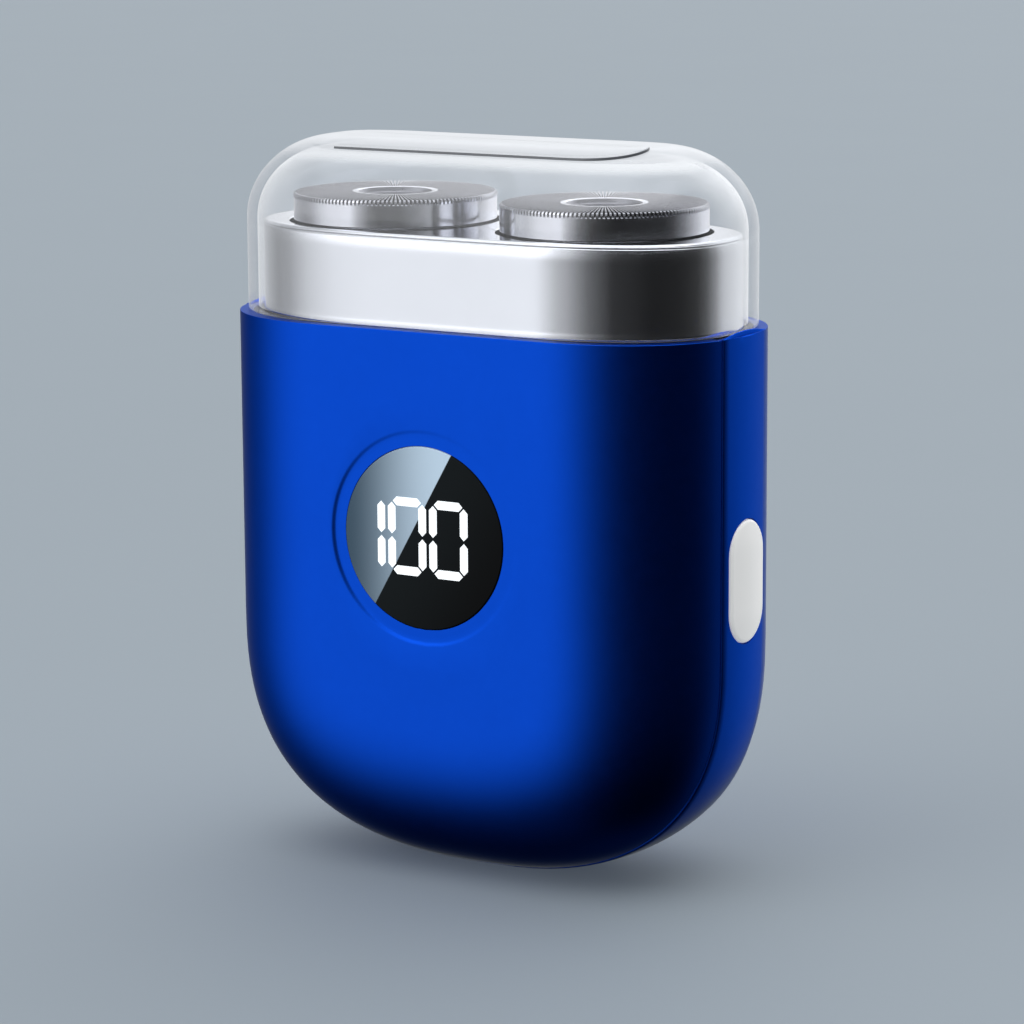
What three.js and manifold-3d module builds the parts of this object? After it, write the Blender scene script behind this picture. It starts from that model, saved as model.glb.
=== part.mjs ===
// A pocket rotary shaver: a blue stadium-shaped body with a round display, a chrome head with
// two rotary cutters and a clear travel cap.  Millimetres, +Z up, -Y is the display side, +X is
// the button side, and the origin is the middle of the flat facet that the body stands on.

import * as THREE from "three";
import { mergeVertices } from "three/addons/utils/BufferGeometryUtils.js";
import Module from "manifold-3d";

const wasm = await Module();
wasm.setup();

// ---------------------------------------------------------------- driving dimensions

const GAP = 0.3; // between pieces that touch

// body, seen from the front: straight sides that run into a superellipse at the bottom
const BODY_HALF_WIDTH = 32.4;
const BODY_HALF_DEPTH = 16;
const EDGE_RADIUS = 15.5; // the long front and back edges are almost a half round
const BODY_TOP = 64.2;
const CORNER_Z = 28.3; // where the straight sides end
const CORNER_HEIGHT = 28.8;
const CORNER_POWER = 2.49;
const CORNER_STEPS = 9;
const EDGE_STEPS = 5;
const WALL = 1.6;

// side band between the two shells
const SEAM_Y = 5;
const BAND_INSET = 0.25;
const BAND_WALL = 1.8;
const LIP_HEIGHT = 0.7;
const LIP_INSET = 0.8;

// display
const DISPLAY_Z = 40.4;
const LENS_RADIUS = 10.5;
const LENS_FRONT_Y = -15.6;
const LENS_THICKNESS = 1.3;
const DISH_RADIUS = 12.3;
const WINDOW_RADIUS = 9.7;

// power button on the band
const BUTTON_Z = 36;
const BUTTON_HALF_WIDTH = 3.8;
const BUTTON_HALF_HEIGHT = 7.05;
const BUTTON_FACE_X = 32.45;
const BUTTON_BACK_X = 29.3;
const BUTTON_FLANGE = 0.8;

// head
const HEAD_X = 14; // each cutter's axis
const HEAD_INSET = 2.55;
const HEAD_WALL = 0.9;
const HEAD_BOTTOM = 64.6;
const HEAD_TOP = 74.4;
const HEAD_PLATE = 1.1;
const HEAD_CHAMFER = 0.55;
const HEAD_HOLE_RADIUS = 12.35;
const CUTTER_RADIUS = 11.85;
const CUTTER_BEAD_RADIUS = 12.05;
const CUTTER_TOP = 77.7;
const CUTTER_BEAD_Z = 75.15;
const CUTTER_SKIRT_RADIUS = 11.35;
const CUTTER_SKIRT_Z = 72.2;
const CUTTER_BORE_RADIUS = 10.7;
const CUTTER_ROOF = 0.5;
const CUTTER_SLOTS = 16;
const BLADE_COUNT = 12;
const FRAME_Z = 69.9;
const FRAME_THICKNESS = 1.2;

// cap
const CAP_INSET = 1.02;
const CAP_WALL = 1.2;
const CAP_BOTTOM = 64.5;
const CAP_TOP = 84.35;
const CAP_ROUND_WIDTH = 10.8; // the shoulder is wider than it is high
const CAP_ROUND_HEIGHT = 8.4;
const CAP_ROUND_STEPS = 4;

// gear drive
const MODULE = 0.5;
const PINION_TEETH = 14;
const GEAR_TEETH = 42;
const DECK_TOP = 63.6;
const DECK_THICKNESS = 1.6;
const DECK_INSET = 2.1;
const DECK_WALL_INSET = 4.3;
const DECK_WALL_TOP = 67.2;
const BOX_INSET = 2.9;
const BOX_WALL = 1.2;
const BOX_BOTTOM = 53;
const BOX_FLOOR = 1.8;
const GEAR_Z = 56.9;
const GEAR_WIDTH = 3.5;
const GEAR_HUB_RADIUS = 2.5;
const GEAR_HUB_TOP = 66;
const GEAR_BORE_RADIUS = 1.75;
const GEAR_FLOOR = 1.7;
const AXLE_RADIUS = 0.8;
const SPINDLE_RADIUS = 1.5;
const SPINDLE_BOTTOM = 62.1;
const SPINDLE_TOP = 73;
const SPINDLE_KEY = 2.7; // across the flats of its square end
const DECK_SCREW_Y = 9;

// motor
const MOTOR_RADIUS = 10;
const MOTOR_HALF_DEPTH = 7.5;
const MOTOR_BOTTOM = 28;
const MOTOR_TOP = 52.4;
const MOTOR_WALL = 0.8;
const SHAFT_RADIUS = 1;
const MOTOR_SCREW_Y = 5.8;

// battery, boards and inner frame
const BATTERY_RADIUS = 7;
const BATTERY_HALF_LENGTH = 21.5;
const BATTERY_Y = 0.6;
const BATTERY_Z = 16;
const BOARD_Y = -9.9;
const BOARD_HALF_WIDTH = 15;
const BOARD_BOTTOM = 24.5;
const BOARD_TOP = 52.3;
const BOARD_THICKNESS = 1;
const BOARD_SCREW_X = 12.5;
const BOARD_SCREW_Z = 49.2;
const CHASSIS_Y = 8;
const CHASSIS_THICKNESS = 1.2;
const CHASSIS_SCREW_X = 15.5;
const CHASSIS_SCREW_Z = 38;
const BOSS_RADIUS = 1.7;
const SCREW_HOLE_RADIUS = 1;
const PORT_HALF_WIDTH = 4.45;
const PORT_HALF_DEPTH = 1.6;
const WIRE_RADIUS = 0.45;

const ROUND = 20; // sides of an ordinary round piece
const ARC = 5; // steps in each quarter of an outline's arc
const FAR = 100;

// ---------------------------------------------------------------- materials

const finish = (color, roughness, metalness, extra = {}) =>
  new THREE.MeshStandardMaterial({ color, roughness, metalness, ...extra });

const blue = finish(0x0a46c3, 0.4, 0.1);
const ivory = finish(0xe6e2dc, 0.45, 0);
const chrome = finish(0xd8dce2, 0.12, 1);
const steel = finish(0xaeb2ba, 0.25, 1);
const brass = finish(0xc9a24a, 0.35, 1);
const darkIron = finish(0x55575c, 0.5, 0.9);
const blackPlastic = finish(0x17181b, 0.55, 0);
const greyPlastic = finish(0x6f747b, 0.5, 0);
const whitePlastic = finish(0xe9e9e6, 0.4, 0);
const blackGlass = finish(0x05070a, 0.06, 0);
const clear = finish(0xeef2f5, 0.05, 0, { transparent: true, opacity: 0.35 });
const board = finish(0x0f5a34, 0.5, 0);
const cellWrap = finish(0x2e8f63, 0.45, 0);
const rubber = finish(0x202224, 0.8, 0);
const redWire = finish(0xb3202a, 0.5, 0);
const blackWire = finish(0x1b1b1d, 0.5, 0);
const flexCable = finish(0xb5762a, 0.5, 0);

// ---------------------------------------------------------------- solids

function solid(geometry) {
  geometry.deleteAttribute("normal");
  geometry.deleteAttribute("uv");
  const merged = mergeVertices(geometry, 1e-4);
  return new wasm.Manifold(
    new wasm.Mesh({
      numProp: 3,
      vertProperties: merged.attributes.position.array,
      triVerts: new Uint32Array(merged.index.array),
    }),
  );
}

function geometryOf(made) {
  const mesh = made.getMesh();
  const geometry = new THREE.BufferGeometry();
  geometry.setAttribute("position", new THREE.BufferAttribute(mesh.vertProperties, 3));
  geometry.setIndex(new THREE.BufferAttribute(mesh.triVerts, 1));
  geometry.computeVertexNormals();
  return geometry;
}

const cut = (first, ...others) => others.reduce((rest, other) => rest.subtract(other), first);

function box(x0, x1, y0, y1, z0, z1) {
  const geometry = new THREE.BoxGeometry(x1 - x0, y1 - y0, z1 - z0);
  return solid(geometry.translate((x0 + x1) / 2, (y0 + y1) / 2, (z0 + z1) / 2));
}

function rod(radius, z0, z1, x = 0, y = 0, sides = ROUND) {
  const geometry = new THREE.CylinderGeometry(radius, radius, z1 - z0, sides);
  return solid(geometry.rotateX(Math.PI / 2).translate(x, y, (z0 + z1) / 2));
}

// A rod that lies along Y, from y0 to y1.
function rodAlongY(radius, y0, y1, x, z, sides = ROUND) {
  const geometry = new THREE.CylinderGeometry(radius, radius, y1 - y0, sides);
  return solid(geometry.translate(x, (y0 + y1) / 2, z));
}

function rodAlongX(radius, x0, x1, y, z, sides = ROUND) {
  const geometry = new THREE.CylinderGeometry(radius, radius, x1 - x0, sides);
  return solid(geometry.rotateZ(Math.PI / 2).translate((x0 + x1) / 2, y, z));
}

// Turns a closed profile of [radius, height] points about the Z axis.
function turned(profile, x = 0, y = 0, sides = ROUND) {
  const points = profile.map(([radius, height]) => new THREE.Vector2(radius, height));
  const geometry = new THREE.LatheGeometry([...points, points[0]], sides);
  return solid(geometry.rotateX(Math.PI / 2).translate(x, y, 0));
}

function prism(shape, z0, z1, curveSegments = ARC) {
  const options = { depth: z1 - z0, bevelEnabled: false, curveSegments };
  return solid(new THREE.ExtrudeGeometry(shape, options).translate(0, 0, z0));
}

// Turns a solid's geometry that was drawn as (x, height) and extruded, so that it runs along Y.
const standUp = (geometry) => geometry.rotateX(Math.PI / 2);

// ---------------------------------------------------------------- outlines

function roundedRectangle(halfWidth, halfDepth, radius) {
  const x = halfWidth - radius;
  const y = halfDepth - radius;
  const quarter = Math.PI / 2;
  const shape = new THREE.Shape();
  shape.moveTo(halfWidth, -y);
  shape.absarc(x, y, radius, 0, quarter);
  shape.absarc(-x, y, radius, quarter, 2 * quarter);
  shape.absarc(-x, -y, radius, 2 * quarter, 3 * quarter);
  shape.absarc(x, -y, radius, 3 * quarter, 4 * quarter);
  return shape;
}

// The plan of the body, moved inwards all round.
const plan = (inset) =>
  roundedRectangle(BODY_HALF_WIDTH - inset, BODY_HALF_DEPTH - inset, EDGE_RADIUS - inset);

// The front outline, moved inwards all round.  Its corner points are spaced evenly by the
// direction that the edge faces.
function outline(inset, top) {
  const right = [];
  for (let step = 0; step <= CORNER_STEPS; step += 1) {
    const facing = (step / CORNER_STEPS) * (Math.PI / 2);
    const slope = Math.tan(facing) * (CORNER_HEIGHT / BODY_HALF_WIDTH);
    const ratio = step === CORNER_STEPS ? Infinity : slope ** (1 / (CORNER_POWER - 1));
    const across = ratio === Infinity ? 0 : (1 + ratio ** CORNER_POWER) ** (-1 / CORNER_POWER);
    const down = ratio === Infinity ? 1 : ratio * across;
    const x = BODY_HALF_WIDTH * across - inset * Math.cos(facing);
    const z = CORNER_Z - CORNER_HEIGHT * down + inset * Math.sin(facing);
    right.push(new THREE.Vector2(x, z));
  }
  right[CORNER_STEPS].x = 0;
  const left = right.slice(0, CORNER_STEPS).map((point) => new THREE.Vector2(-point.x, point.y));
  const side = BODY_HALF_WIDTH - inset;
  const upper = [new THREE.Vector2(-side, top), new THREE.Vector2(side, top)];
  return new THREE.Shape([...upper, ...right, ...left.reverse()]);
}

// The body as a pillow: the outline with its front and back edges rounded.
function pillow(inset) {
  const radius = EDGE_RADIUS - inset;
  const depth = 2 * (BODY_HALF_DEPTH - EDGE_RADIUS);
  const options = {
    depth,
    bevelThickness: radius,
    bevelSize: radius,
    bevelOffset: -EDGE_RADIUS,
    bevelSegments: EDGE_STEPS,
  };
  const geometry = new THREE.ExtrudeGeometry(outline(0, BODY_TOP + EDGE_RADIUS + 1), options);
  return solid(standUp(geometry.translate(0, 0, -depth / 2)));
}

// A pill standing on its end in the YZ plane, from x0 to x1.
function pill(halfWidth, halfHeight, x0, x1, bevel = 0) {
  const shape = new THREE.Shape();
  const straight = halfHeight - halfWidth;
  shape.absarc(0, straight, halfWidth, 0, Math.PI);
  shape.absarc(0, -straight, halfWidth, Math.PI, 2 * Math.PI);
  const options = {
    depth: x1 - x0 - 2 * bevel,
    bevelEnabled: bevel > 0,
    bevelThickness: bevel,
    bevelSize: bevel * 1.6,
    bevelOffset: -bevel * 1.6,
    bevelSegments: 2,
    curveSegments: 8,
  };
  const geometry = new THREE.ExtrudeGeometry(shape, options).translate(0, 0, x0 + bevel);
  geometry.rotateX(Math.PI / 2).rotateZ(Math.PI / 2);
  return solid(geometry.translate(0, 0, BUTTON_Z));
}

// ---------------------------------------------------------------- the object

const shaver = new THREE.Group();

function add(name, made, material) {
  const mesh = new THREE.Mesh(geometryOf(made), material);
  mesh.name = name;
  shaver.add(mesh);
}

const SIDES = [
  ["left", -1],
  ["right", 1],
];

// ---------------------------------------------------------------- housing

const outside = pillow(0);
const inside = pillow(WALL);

// One shell: the part of the hollow pillow beyond the seam on one side.
function shell(side) {
  const near = SEAM_Y + GAP / 2;
  const [y0, y1] = side < 0 ? [-FAR, -near] : [near, FAR];
  const keep = box(-FAR, FAR, y0, y1, 0, BODY_TOP);
  return outside.subtract(inside).intersect(keep);
}

// Posts on a shell that take two screws; tip is the post's free end.
function bosses(made, screwX, screwZ, tip, root, hole) {
  let result = made;
  for (const [, side] of SIDES) {
    const x = side * screwX;
    const post = rodAlongY(BOSS_RADIUS, Math.min(tip, root), Math.max(tip, root), x, screwZ, 12);
    const drilled = rodAlongY(SCREW_HOLE_RADIUS, Math.min(tip, hole), Math.max(tip, hole), x, screwZ, 8);
    result = result.add(post).subtract(drilled);
  }
  return result;
}

function frontShell() {
  const pocketDepth = LENS_FRONT_Y + LENS_THICKNESS + GAP;
  const rimBack = pocketDepth + 0.8;
  const rim = rodAlongY(DISH_RADIUS + 0.3, -BODY_HALF_DEPTH + WALL / 2, rimBack, 0, DISPLAY_Z);
  const dishFloor = -BODY_HALF_DEPTH + 0.45;
  const dish = new THREE.CylinderGeometry(LENS_RADIUS + GAP, DISH_RADIUS + 0.2, 0.55, 32);
  const dishCut = solid(dish.translate(0, dishFloor - 0.275, DISPLAY_Z));
  const pocket = rodAlongY(LENS_RADIUS + GAP, -FAR, pocketDepth, 0, DISPLAY_Z, 32);
  const window = rodAlongY(WINDOW_RADIUS, -FAR, 0, 0, DISPLAY_Z);
  const made = cut(shell(-1).add(rim), dishCut, pocket, window);
  const bossTip = BOARD_Y - BOARD_THICKNESS / 2 - GAP;
  return bosses(made, BOARD_SCREW_X, BOARD_SCREW_Z, bossTip, -BODY_HALF_DEPTH + 1, bossTip - 3);
}

function backShell() {
  const bossTip = CHASSIS_Y + CHASSIS_THICKNESS + GAP;
  const made = shell(1);
  return bosses(made, CHASSIS_SCREW_X, CHASSIS_SCREW_Z, bossTip, BODY_HALF_DEPTH - 1, bossTip + 3);
}

function sideBand() {
  const half = SEAM_Y - GAP / 2;
  const ring = (inset, top) => {
    const options = { depth: 2 * half, bevelEnabled: false };
    const geometry = new THREE.ExtrudeGeometry(outline(inset, top), options);
    return solid(standUp(geometry.translate(0, 0, -half)));
  };
  const lipTop = BODY_TOP + LIP_HEIGHT;
  const hollow = ring(BAND_WALL, FAR);
  const mouth = ring(LIP_INSET, FAR).intersect(box(-FAR, FAR, -FAR, FAR, BODY_TOP, FAR));
  const port = roundedRectangle(PORT_HALF_WIDTH + GAP, PORT_HALF_DEPTH + GAP, PORT_HALF_DEPTH);
  const slot = pill(BUTTON_HALF_WIDTH + GAP, BUTTON_HALF_HEIGHT + GAP, BODY_HALF_WIDTH - 4, FAR);
  const ground = box(-FAR, FAR, -FAR, FAR, -FAR, 0);
  return cut(ring(BAND_INSET, lipTop), hollow, mouth, prism(port, -FAR, 5, 4), slot, ground);
}

add("front_shell", frontShell(), blue);
add("back_shell", backShell(), blue);
add("side_band", sideBand(), blue);

const lensBack = LENS_FRONT_Y + LENS_THICKNESS;
add("display_lens", rodAlongY(LENS_RADIUS, LENS_FRONT_Y, lensBack, 0, DISPLAY_Z, 32), blackGlass);

// ---------------------------------------------------------------- boards and display

const boardFront = BOARD_Y - BOARD_THICKNESS / 2;
const boardBack = BOARD_Y + BOARD_THICKNESS / 2;

function mainBoard() {
  const halfWidth = BOARD_HALF_WIDTH;
  let made = box(-halfWidth, halfWidth, boardFront, boardBack, BOARD_BOTTOM, BOARD_TOP);
  const chips = [
    [-9, 34, 4, 1],
    [7, 37, 5, 0.8],
    [0, 45, 3, 0.7],
  ];
  for (const [x, z, size, height] of chips) {
    const chip = box(x - size / 2, x + size / 2, BOARD_Y, boardBack + height, z - size / 2, z + size / 2);
    made = made.add(chip);
  }
  for (const [, side] of SIDES) {
    const hole = rodAlongY(SCREW_HOLE_RADIUS, -FAR, FAR, side * BOARD_SCREW_X, BOARD_SCREW_Z, 8);
    made = made.subtract(hole);
  }
  return made;
}

function displayModule() {
  const back = boardFront - GAP;
  const front = back - 2.4;
  const body = box(-8.5, 8.5, front, back, DISPLAY_Z - 6.5, DISPLAY_Z + 6.5);
  const face = box(-7.6, 7.6, front - 0.3, front + 0.5, DISPLAY_Z - 5.6, DISPLAY_Z + 5.6);
  return body.add(face);
}

// A charging socket whose mouth faces down, with the tongue inside it.
function chargeSocket() {
  const bottom = 0.5;
  const top = 7.4;
  const wall = 0.3;
  const outer = roundedRectangle(PORT_HALF_WIDTH, PORT_HALF_DEPTH, PORT_HALF_DEPTH - 0.1);
  const inner = roundedRectangle(
    PORT_HALF_WIDTH - wall,
    PORT_HALF_DEPTH - wall,
    PORT_HALF_DEPTH - wall - 0.1,
  );
  const can = cut(prism(outer, bottom, top, 4), prism(inner, -1, top - 1, 4));
  return can.add(box(-3.2, 3.2, -0.35, 0.35, bottom + 1, top - 0.5));
}

function tactSwitch() {
  const seat = 26.5;
  const body = box(seat, seat + 1.8, -2.2, 2.2, BUTTON_Z - 2.2, BUTTON_Z + 2.2);
  return body.add(rodAlongX(0.8, seat + 1, seat + 2.25, 0, BUTTON_Z, 12));
}

add("main_board", mainBoard(), board);
add("display_module", displayModule(), blackPlastic);
add("charge_socket", chargeSocket(), steel);
add("charge_board", box(-6, 6, 1.9, 2.9, 2.4, 8.4), board);
add("switch_board", box(25.2, 26.2, -3.8, 3.8, BUTTON_Z - 6.5, BUTTON_Z + 6.5), board);
add("tact_switch", tactSwitch(), darkIron);

// ---------------------------------------------------------------- power button

function powerButton() {
  const wide = BUTTON_HALF_WIDTH + BUTTON_FLANGE;
  const tall = BUTTON_HALF_HEIGHT + BUTTON_FLANGE;
  const flange = pill(wide, tall, BUTTON_BACK_X, BUTTON_BACK_X + 0.8);
  const face = pill(BUTTON_HALF_WIDTH, BUTTON_HALF_HEIGHT, BUTTON_BACK_X + 0.2, BUTTON_FACE_X, 0.5);
  return flange.add(face);
}

add("power_button", powerButton(), ivory);

// ---------------------------------------------------------------- battery

const cell = rodAlongX(BATTERY_RADIUS, -BATTERY_HALF_LENGTH, BATTERY_HALF_LENGTH, BATTERY_Y, BATTERY_Z, 24);
add("battery_cell", cell, cellWrap);

for (const [name, side] of SIDES) {
  const near = side * (BATTERY_HALF_LENGTH + GAP);
  const far = near + side * 0.4;
  const tab = box(Math.min(near, far), Math.max(near, far), BATTERY_Y - 3, BATTERY_Y + 3, 12.5, 20);
  add(`battery_tab_${name}`, tab, steel);
}

// ---------------------------------------------------------------- motor

// A round can with two flat sides.
function canOutline(radius, halfDepth) {
  const turn = Math.asin(halfDepth / radius);
  const shape = new THREE.Shape();
  shape.absarc(0, 0, radius, -turn, turn);
  shape.absarc(0, 0, radius, Math.PI - turn, Math.PI + turn);
  return shape;
}

const motorBody = (grow, z0, z1) =>
  prism(canOutline(MOTOR_RADIUS + grow, MOTOR_HALF_DEPTH + grow), z0, z1);

function motorCan() {
  const bossTop = MOTOR_TOP + 1.3;
  const shellOnly = motorBody(0, MOTOR_BOTTOM, MOTOR_TOP).subtract(
    motorBody(-MOTOR_WALL, MOTOR_BOTTOM - 1, MOTOR_TOP - MOTOR_WALL),
  );
  const bearing = rod(3, MOTOR_TOP - 0.4, bossTop);
  let made = shellOnly.add(bearing).subtract(rod(SHAFT_RADIUS + 0.15, MOTOR_TOP - 2, FAR));
  for (const [, side] of SIDES) {
    made = made.subtract(rod(0.9, MOTOR_TOP - 2, FAR, 0, side * MOTOR_SCREW_Y, 8));
  }
  return made;
}

function motorMagnet(side) {
  const middle = side > 0 ? 0 : Math.PI;
  const half = THREE.MathUtils.degToRad(40);
  const shape = new THREE.Shape();
  shape.absarc(0, 0, 8.85, middle - half, middle + half);
  shape.absarc(0, 0, 6.2, middle + half, middle - half, true);
  return prism(shape, 31, 49);
}

// Shaft, commutator, winding ends and laminated core, as one turned piece.
function motorRotor() {
  const core = 5.6;
  const winding = 4.5;
  const commutator = 2.4;
  const profile = [
    [0, 26.6],
    [SHAFT_RADIUS, 26.6],
    [SHAFT_RADIUS, 28.6],
    [commutator, 28.6],
    [commutator, 30.6],
    [winding, 31.2],
    [winding, 33],
    [core, 33],
    [core, 47],
    [winding, 47],
    [winding, 48.8],
    [SHAFT_RADIUS, 49.4],
    [SHAFT_RADIUS, 60.9],
    [0, 60.9],
  ];
  return turned(profile, 0, 0, 16);
}

const endCap = motorBody(0, MOTOR_BOTTOM - 2.4, MOTOR_BOTTOM - GAP);
add("motor_can", motorCan(), steel);
add("motor_end_cap", endCap.subtract(rod(SHAFT_RADIUS + 0.15, 0, FAR)), whitePlastic);
add("motor_rotor", motorRotor(), darkIron);

for (const [name, side] of SIDES) {
  const x = side * 5;
  add(`motor_magnet_${name}`, motorMagnet(side), darkIron);
  add(`motor_terminal_${name}`, box(x - 1, x + 1, -0.25, 0.25, 23.6, 25.3), brass);
}

// ---------------------------------------------------------------- gears

// A straight-toothed gear outline, with a tooth on +X unless it is turned.
function gearOutline(teeth, turn = 0) {
  const pitch = (2 * Math.PI) / teeth;
  const root = (MODULE * (teeth - 2.5)) / 2;
  const tip = (MODULE * (teeth + 2)) / 2;
  const points = [];
  for (let tooth = 0; tooth < teeth; tooth += 1) {
    const middle = tooth * pitch + turn;
    const corners = [
      [root, -0.29],
      [tip, -0.1],
      [tip, 0.1],
      [root, 0.29],
    ];
    for (const [radius, share] of corners) {
      const angle = middle + share * pitch;
      points.push(new THREE.Vector2(radius * Math.cos(angle), radius * Math.sin(angle)));
    }
  }
  return new THREE.Shape(points);
}

const pinionTop = GEAR_Z + GEAR_WIDTH + 0.2;
const pinion = prism(gearOutline(PINION_TEETH), GEAR_Z - 0.5, pinionTop);
add("drive_pinion", pinion.subtract(rod(SHAFT_RADIUS + 0.15, 0, FAR)), brass);

function driveGear(side) {
  const x = side * HEAD_X;
  const halfPitch = Math.PI / GEAR_TEETH;
  const wheel = prism(gearOutline(GEAR_TEETH, halfPitch), GEAR_Z, GEAR_Z + GEAR_WIDTH);
  const hub = rod(GEAR_HUB_RADIUS, GEAR_Z, GEAR_HUB_TOP);
  const bore = rod(GEAR_BORE_RADIUS, GEAR_Z + GEAR_FLOOR, FAR, 0, 0, 16);
  const axleHole = rod(AXLE_RADIUS + 0.1, 0, FAR, 0, 0, 12);
  return cut(wheel.add(hub), bore, axleHole).translate([x, 0, 0]);
}

function driveSpindle(side) {
  const x = side * HEAD_X;
  const shaft = rod(SPINDLE_RADIUS, SPINDLE_BOTTOM, SPINDLE_TOP - 2, x, 0, 16);
  const half = SPINDLE_KEY / 2;
  return shaft.add(box(x - half, x + half, -half, half, SPINDLE_TOP - 3.4, SPINDLE_TOP));
}

// The wire of a compression spring, as a tube along a helix.
function spindleSpring(side) {
  const turns = 4;
  const bottom = GEAR_Z + GEAR_FLOOR + 0.5;
  const top = SPINDLE_BOTTOM - 0.5;
  const coilRadius = 1.3;
  class Helix extends THREE.Curve {
    getPoint(t) {
      const angle = t * turns * 2 * Math.PI;
      const x = side * HEAD_X + coilRadius * Math.cos(angle);
      return new THREE.Vector3(x, coilRadius * Math.sin(angle), bottom + t * (top - bottom));
    }
  }
  return solid(tubeAlong(new Helix(), 0.2, turns * 8, 5));
}

function tubeAlong(curve, radius, steps, sides) {
  const ring = [];
  for (let side = 0; side < sides; side += 1) {
    const angle = (side / sides) * 2 * Math.PI;
    ring.push(new THREE.Vector2(radius * Math.cos(angle), radius * Math.sin(angle)));
  }
  const options = { steps, extrudePath: curve, bevelEnabled: false };
  return new THREE.ExtrudeGeometry(new THREE.Shape(ring), options);
}

for (const [name, side] of SIDES) {
  const x = side * HEAD_X;
  add(`drive_gear_${name}`, driveGear(side), whitePlastic);
  add(`drive_spindle_${name}`, driveSpindle(side), steel);
  add(`spindle_spring_${name}`, spindleSpring(side), steel);
  add(`gear_axle_${name}`, rod(AXLE_RADIUS, BOX_BOTTOM + 0.9, GEAR_Z + 1.3, x, 0, 12), steel);
}

// ---------------------------------------------------------------- gearbox

function gearbox() {
  const floor = BOX_BOTTOM + BOX_FLOOR;
  const top = DECK_TOP - DECK_THICKNESS - GAP;
  const hollow = prism(plan(BOX_INSET + BOX_WALL), floor, FAR);
  const tub = prism(plan(BOX_INSET), BOX_BOTTOM, top).subtract(hollow);
  let made = tub.subtract(rod(3.4, 0, FAR));
  for (const [, side] of SIDES) {
    const post = rod(BOSS_RADIUS, floor - 0.5, top, 0, side * DECK_SCREW_Y, 12);
    const thread = rod(SCREW_HOLE_RADIUS, top - 5.5, FAR, 0, side * DECK_SCREW_Y, 8);
    const motorScrew = rod(0.9, 0, FAR, 0, side * MOTOR_SCREW_Y, 8);
    const axleSeat = rod(AXLE_RADIUS + GAP, BOX_BOTTOM + 0.6, FAR, side * HEAD_X, 0, 12);
    made = cut(made.add(post), thread, motorScrew, axleSeat);
  }
  return made;
}

// The plate that closes the gearbox: two spindle collars and the wall that the head fits over.
function driveDeck() {
  const bottom = DECK_TOP - DECK_THICKNESS;
  const plate = prism(plan(DECK_INSET), bottom, DECK_TOP);
  const wallOuter = prism(plan(DECK_WALL_INSET), DECK_TOP - 0.2, DECK_WALL_TOP);
  const wallInner = prism(plan(DECK_WALL_INSET + 1), DECK_TOP, FAR);
  let made = plate.add(wallOuter.subtract(wallInner));
  for (const [, side] of SIDES) {
    const x = side * HEAD_X;
    const y = side * DECK_SCREW_Y;
    const collar = rod(4.2, bottom, GEAR_HUB_TOP + 0.4, x);
    const hubHole = rod(GEAR_HUB_RADIUS + 0.25, 0, FAR, x);
    const screwHole = rod(SCREW_HOLE_RADIUS, 0, FAR, 0, y, 8);
    const sink = rod(1.55, DECK_TOP - 0.8, FAR, 0, y, 16);
    made = cut(made.add(collar), hubHole, screwHole, sink);
  }
  return made;
}

// A lip seal that lies round the deck's wall, inside the head.
function headSeal() {
  const middle = DECK_WALL_INSET - 0.35;
  const half = 0.3;
  return prism(plan(middle - half), 65.5, 66.1).subtract(prism(plan(middle + half), 0, FAR));
}

add("gearbox", gearbox(), greyPlastic);
add("drive_deck", driveDeck(), blackPlastic);
add("head_seal", headSeal(), rubber);

// ---------------------------------------------------------------- inner frame

// The plate behind the motor and the battery, with two battery saddles and two motor clips.
function chassis() {
  const back = CHASSIS_Y + CHASSIS_THICKNESS;
  let made = box(-19, 19, CHASSIS_Y, back, 9.5, 52);
  for (const [, side] of SIDES) {
    const x = side * 16.7;
    made = made.add(box(x - 0.7, x + 0.7, -4.5, CHASSIS_Y + 0.2, 7.2, 14));
    const hole = rodAlongY(SCREW_HOLE_RADIUS, 0, FAR, side * CHASSIS_SCREW_X, CHASSIS_SCREW_Z, 8);
    made = made.subtract(hole);
  }
  for (const z of [31, 45]) made = made.add(box(-12.2, 12.2, -4, CHASSIS_Y + 0.2, z, z + 1.5));
  const cellSpace = rodAlongX(BATTERY_RADIUS + GAP, -FAR, FAR, BATTERY_Y, BATTERY_Z, 24);
  return cut(made, cellSpace, motorBody(GAP, MOTOR_BOTTOM - 3, MOTOR_TOP + 2));
}

add("chassis", chassis(), blackPlastic);

// ---------------------------------------------------------------- screws

// A pan-head screw whose head sits above z = 0 and whose shank hangs below it.
function screw(length, headRadius = 1.25, headHeight = 0.75) {
  const profile = [
    [0, -length],
    [0.7, -length],
    [0.7, 0],
    [headRadius, 0],
    [headRadius, headHeight * 0.6],
    [headRadius * 0.7, headHeight],
    [0, headHeight],
  ];
  return turned(profile, 0, 0, 10);
}

const towardsFront = [90, 0, 0];
const towardsBack = [-90, 0, 0];
const boardScrewY = boardBack + GAP;
const chassisScrewY = CHASSIS_Y - GAP;

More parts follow.
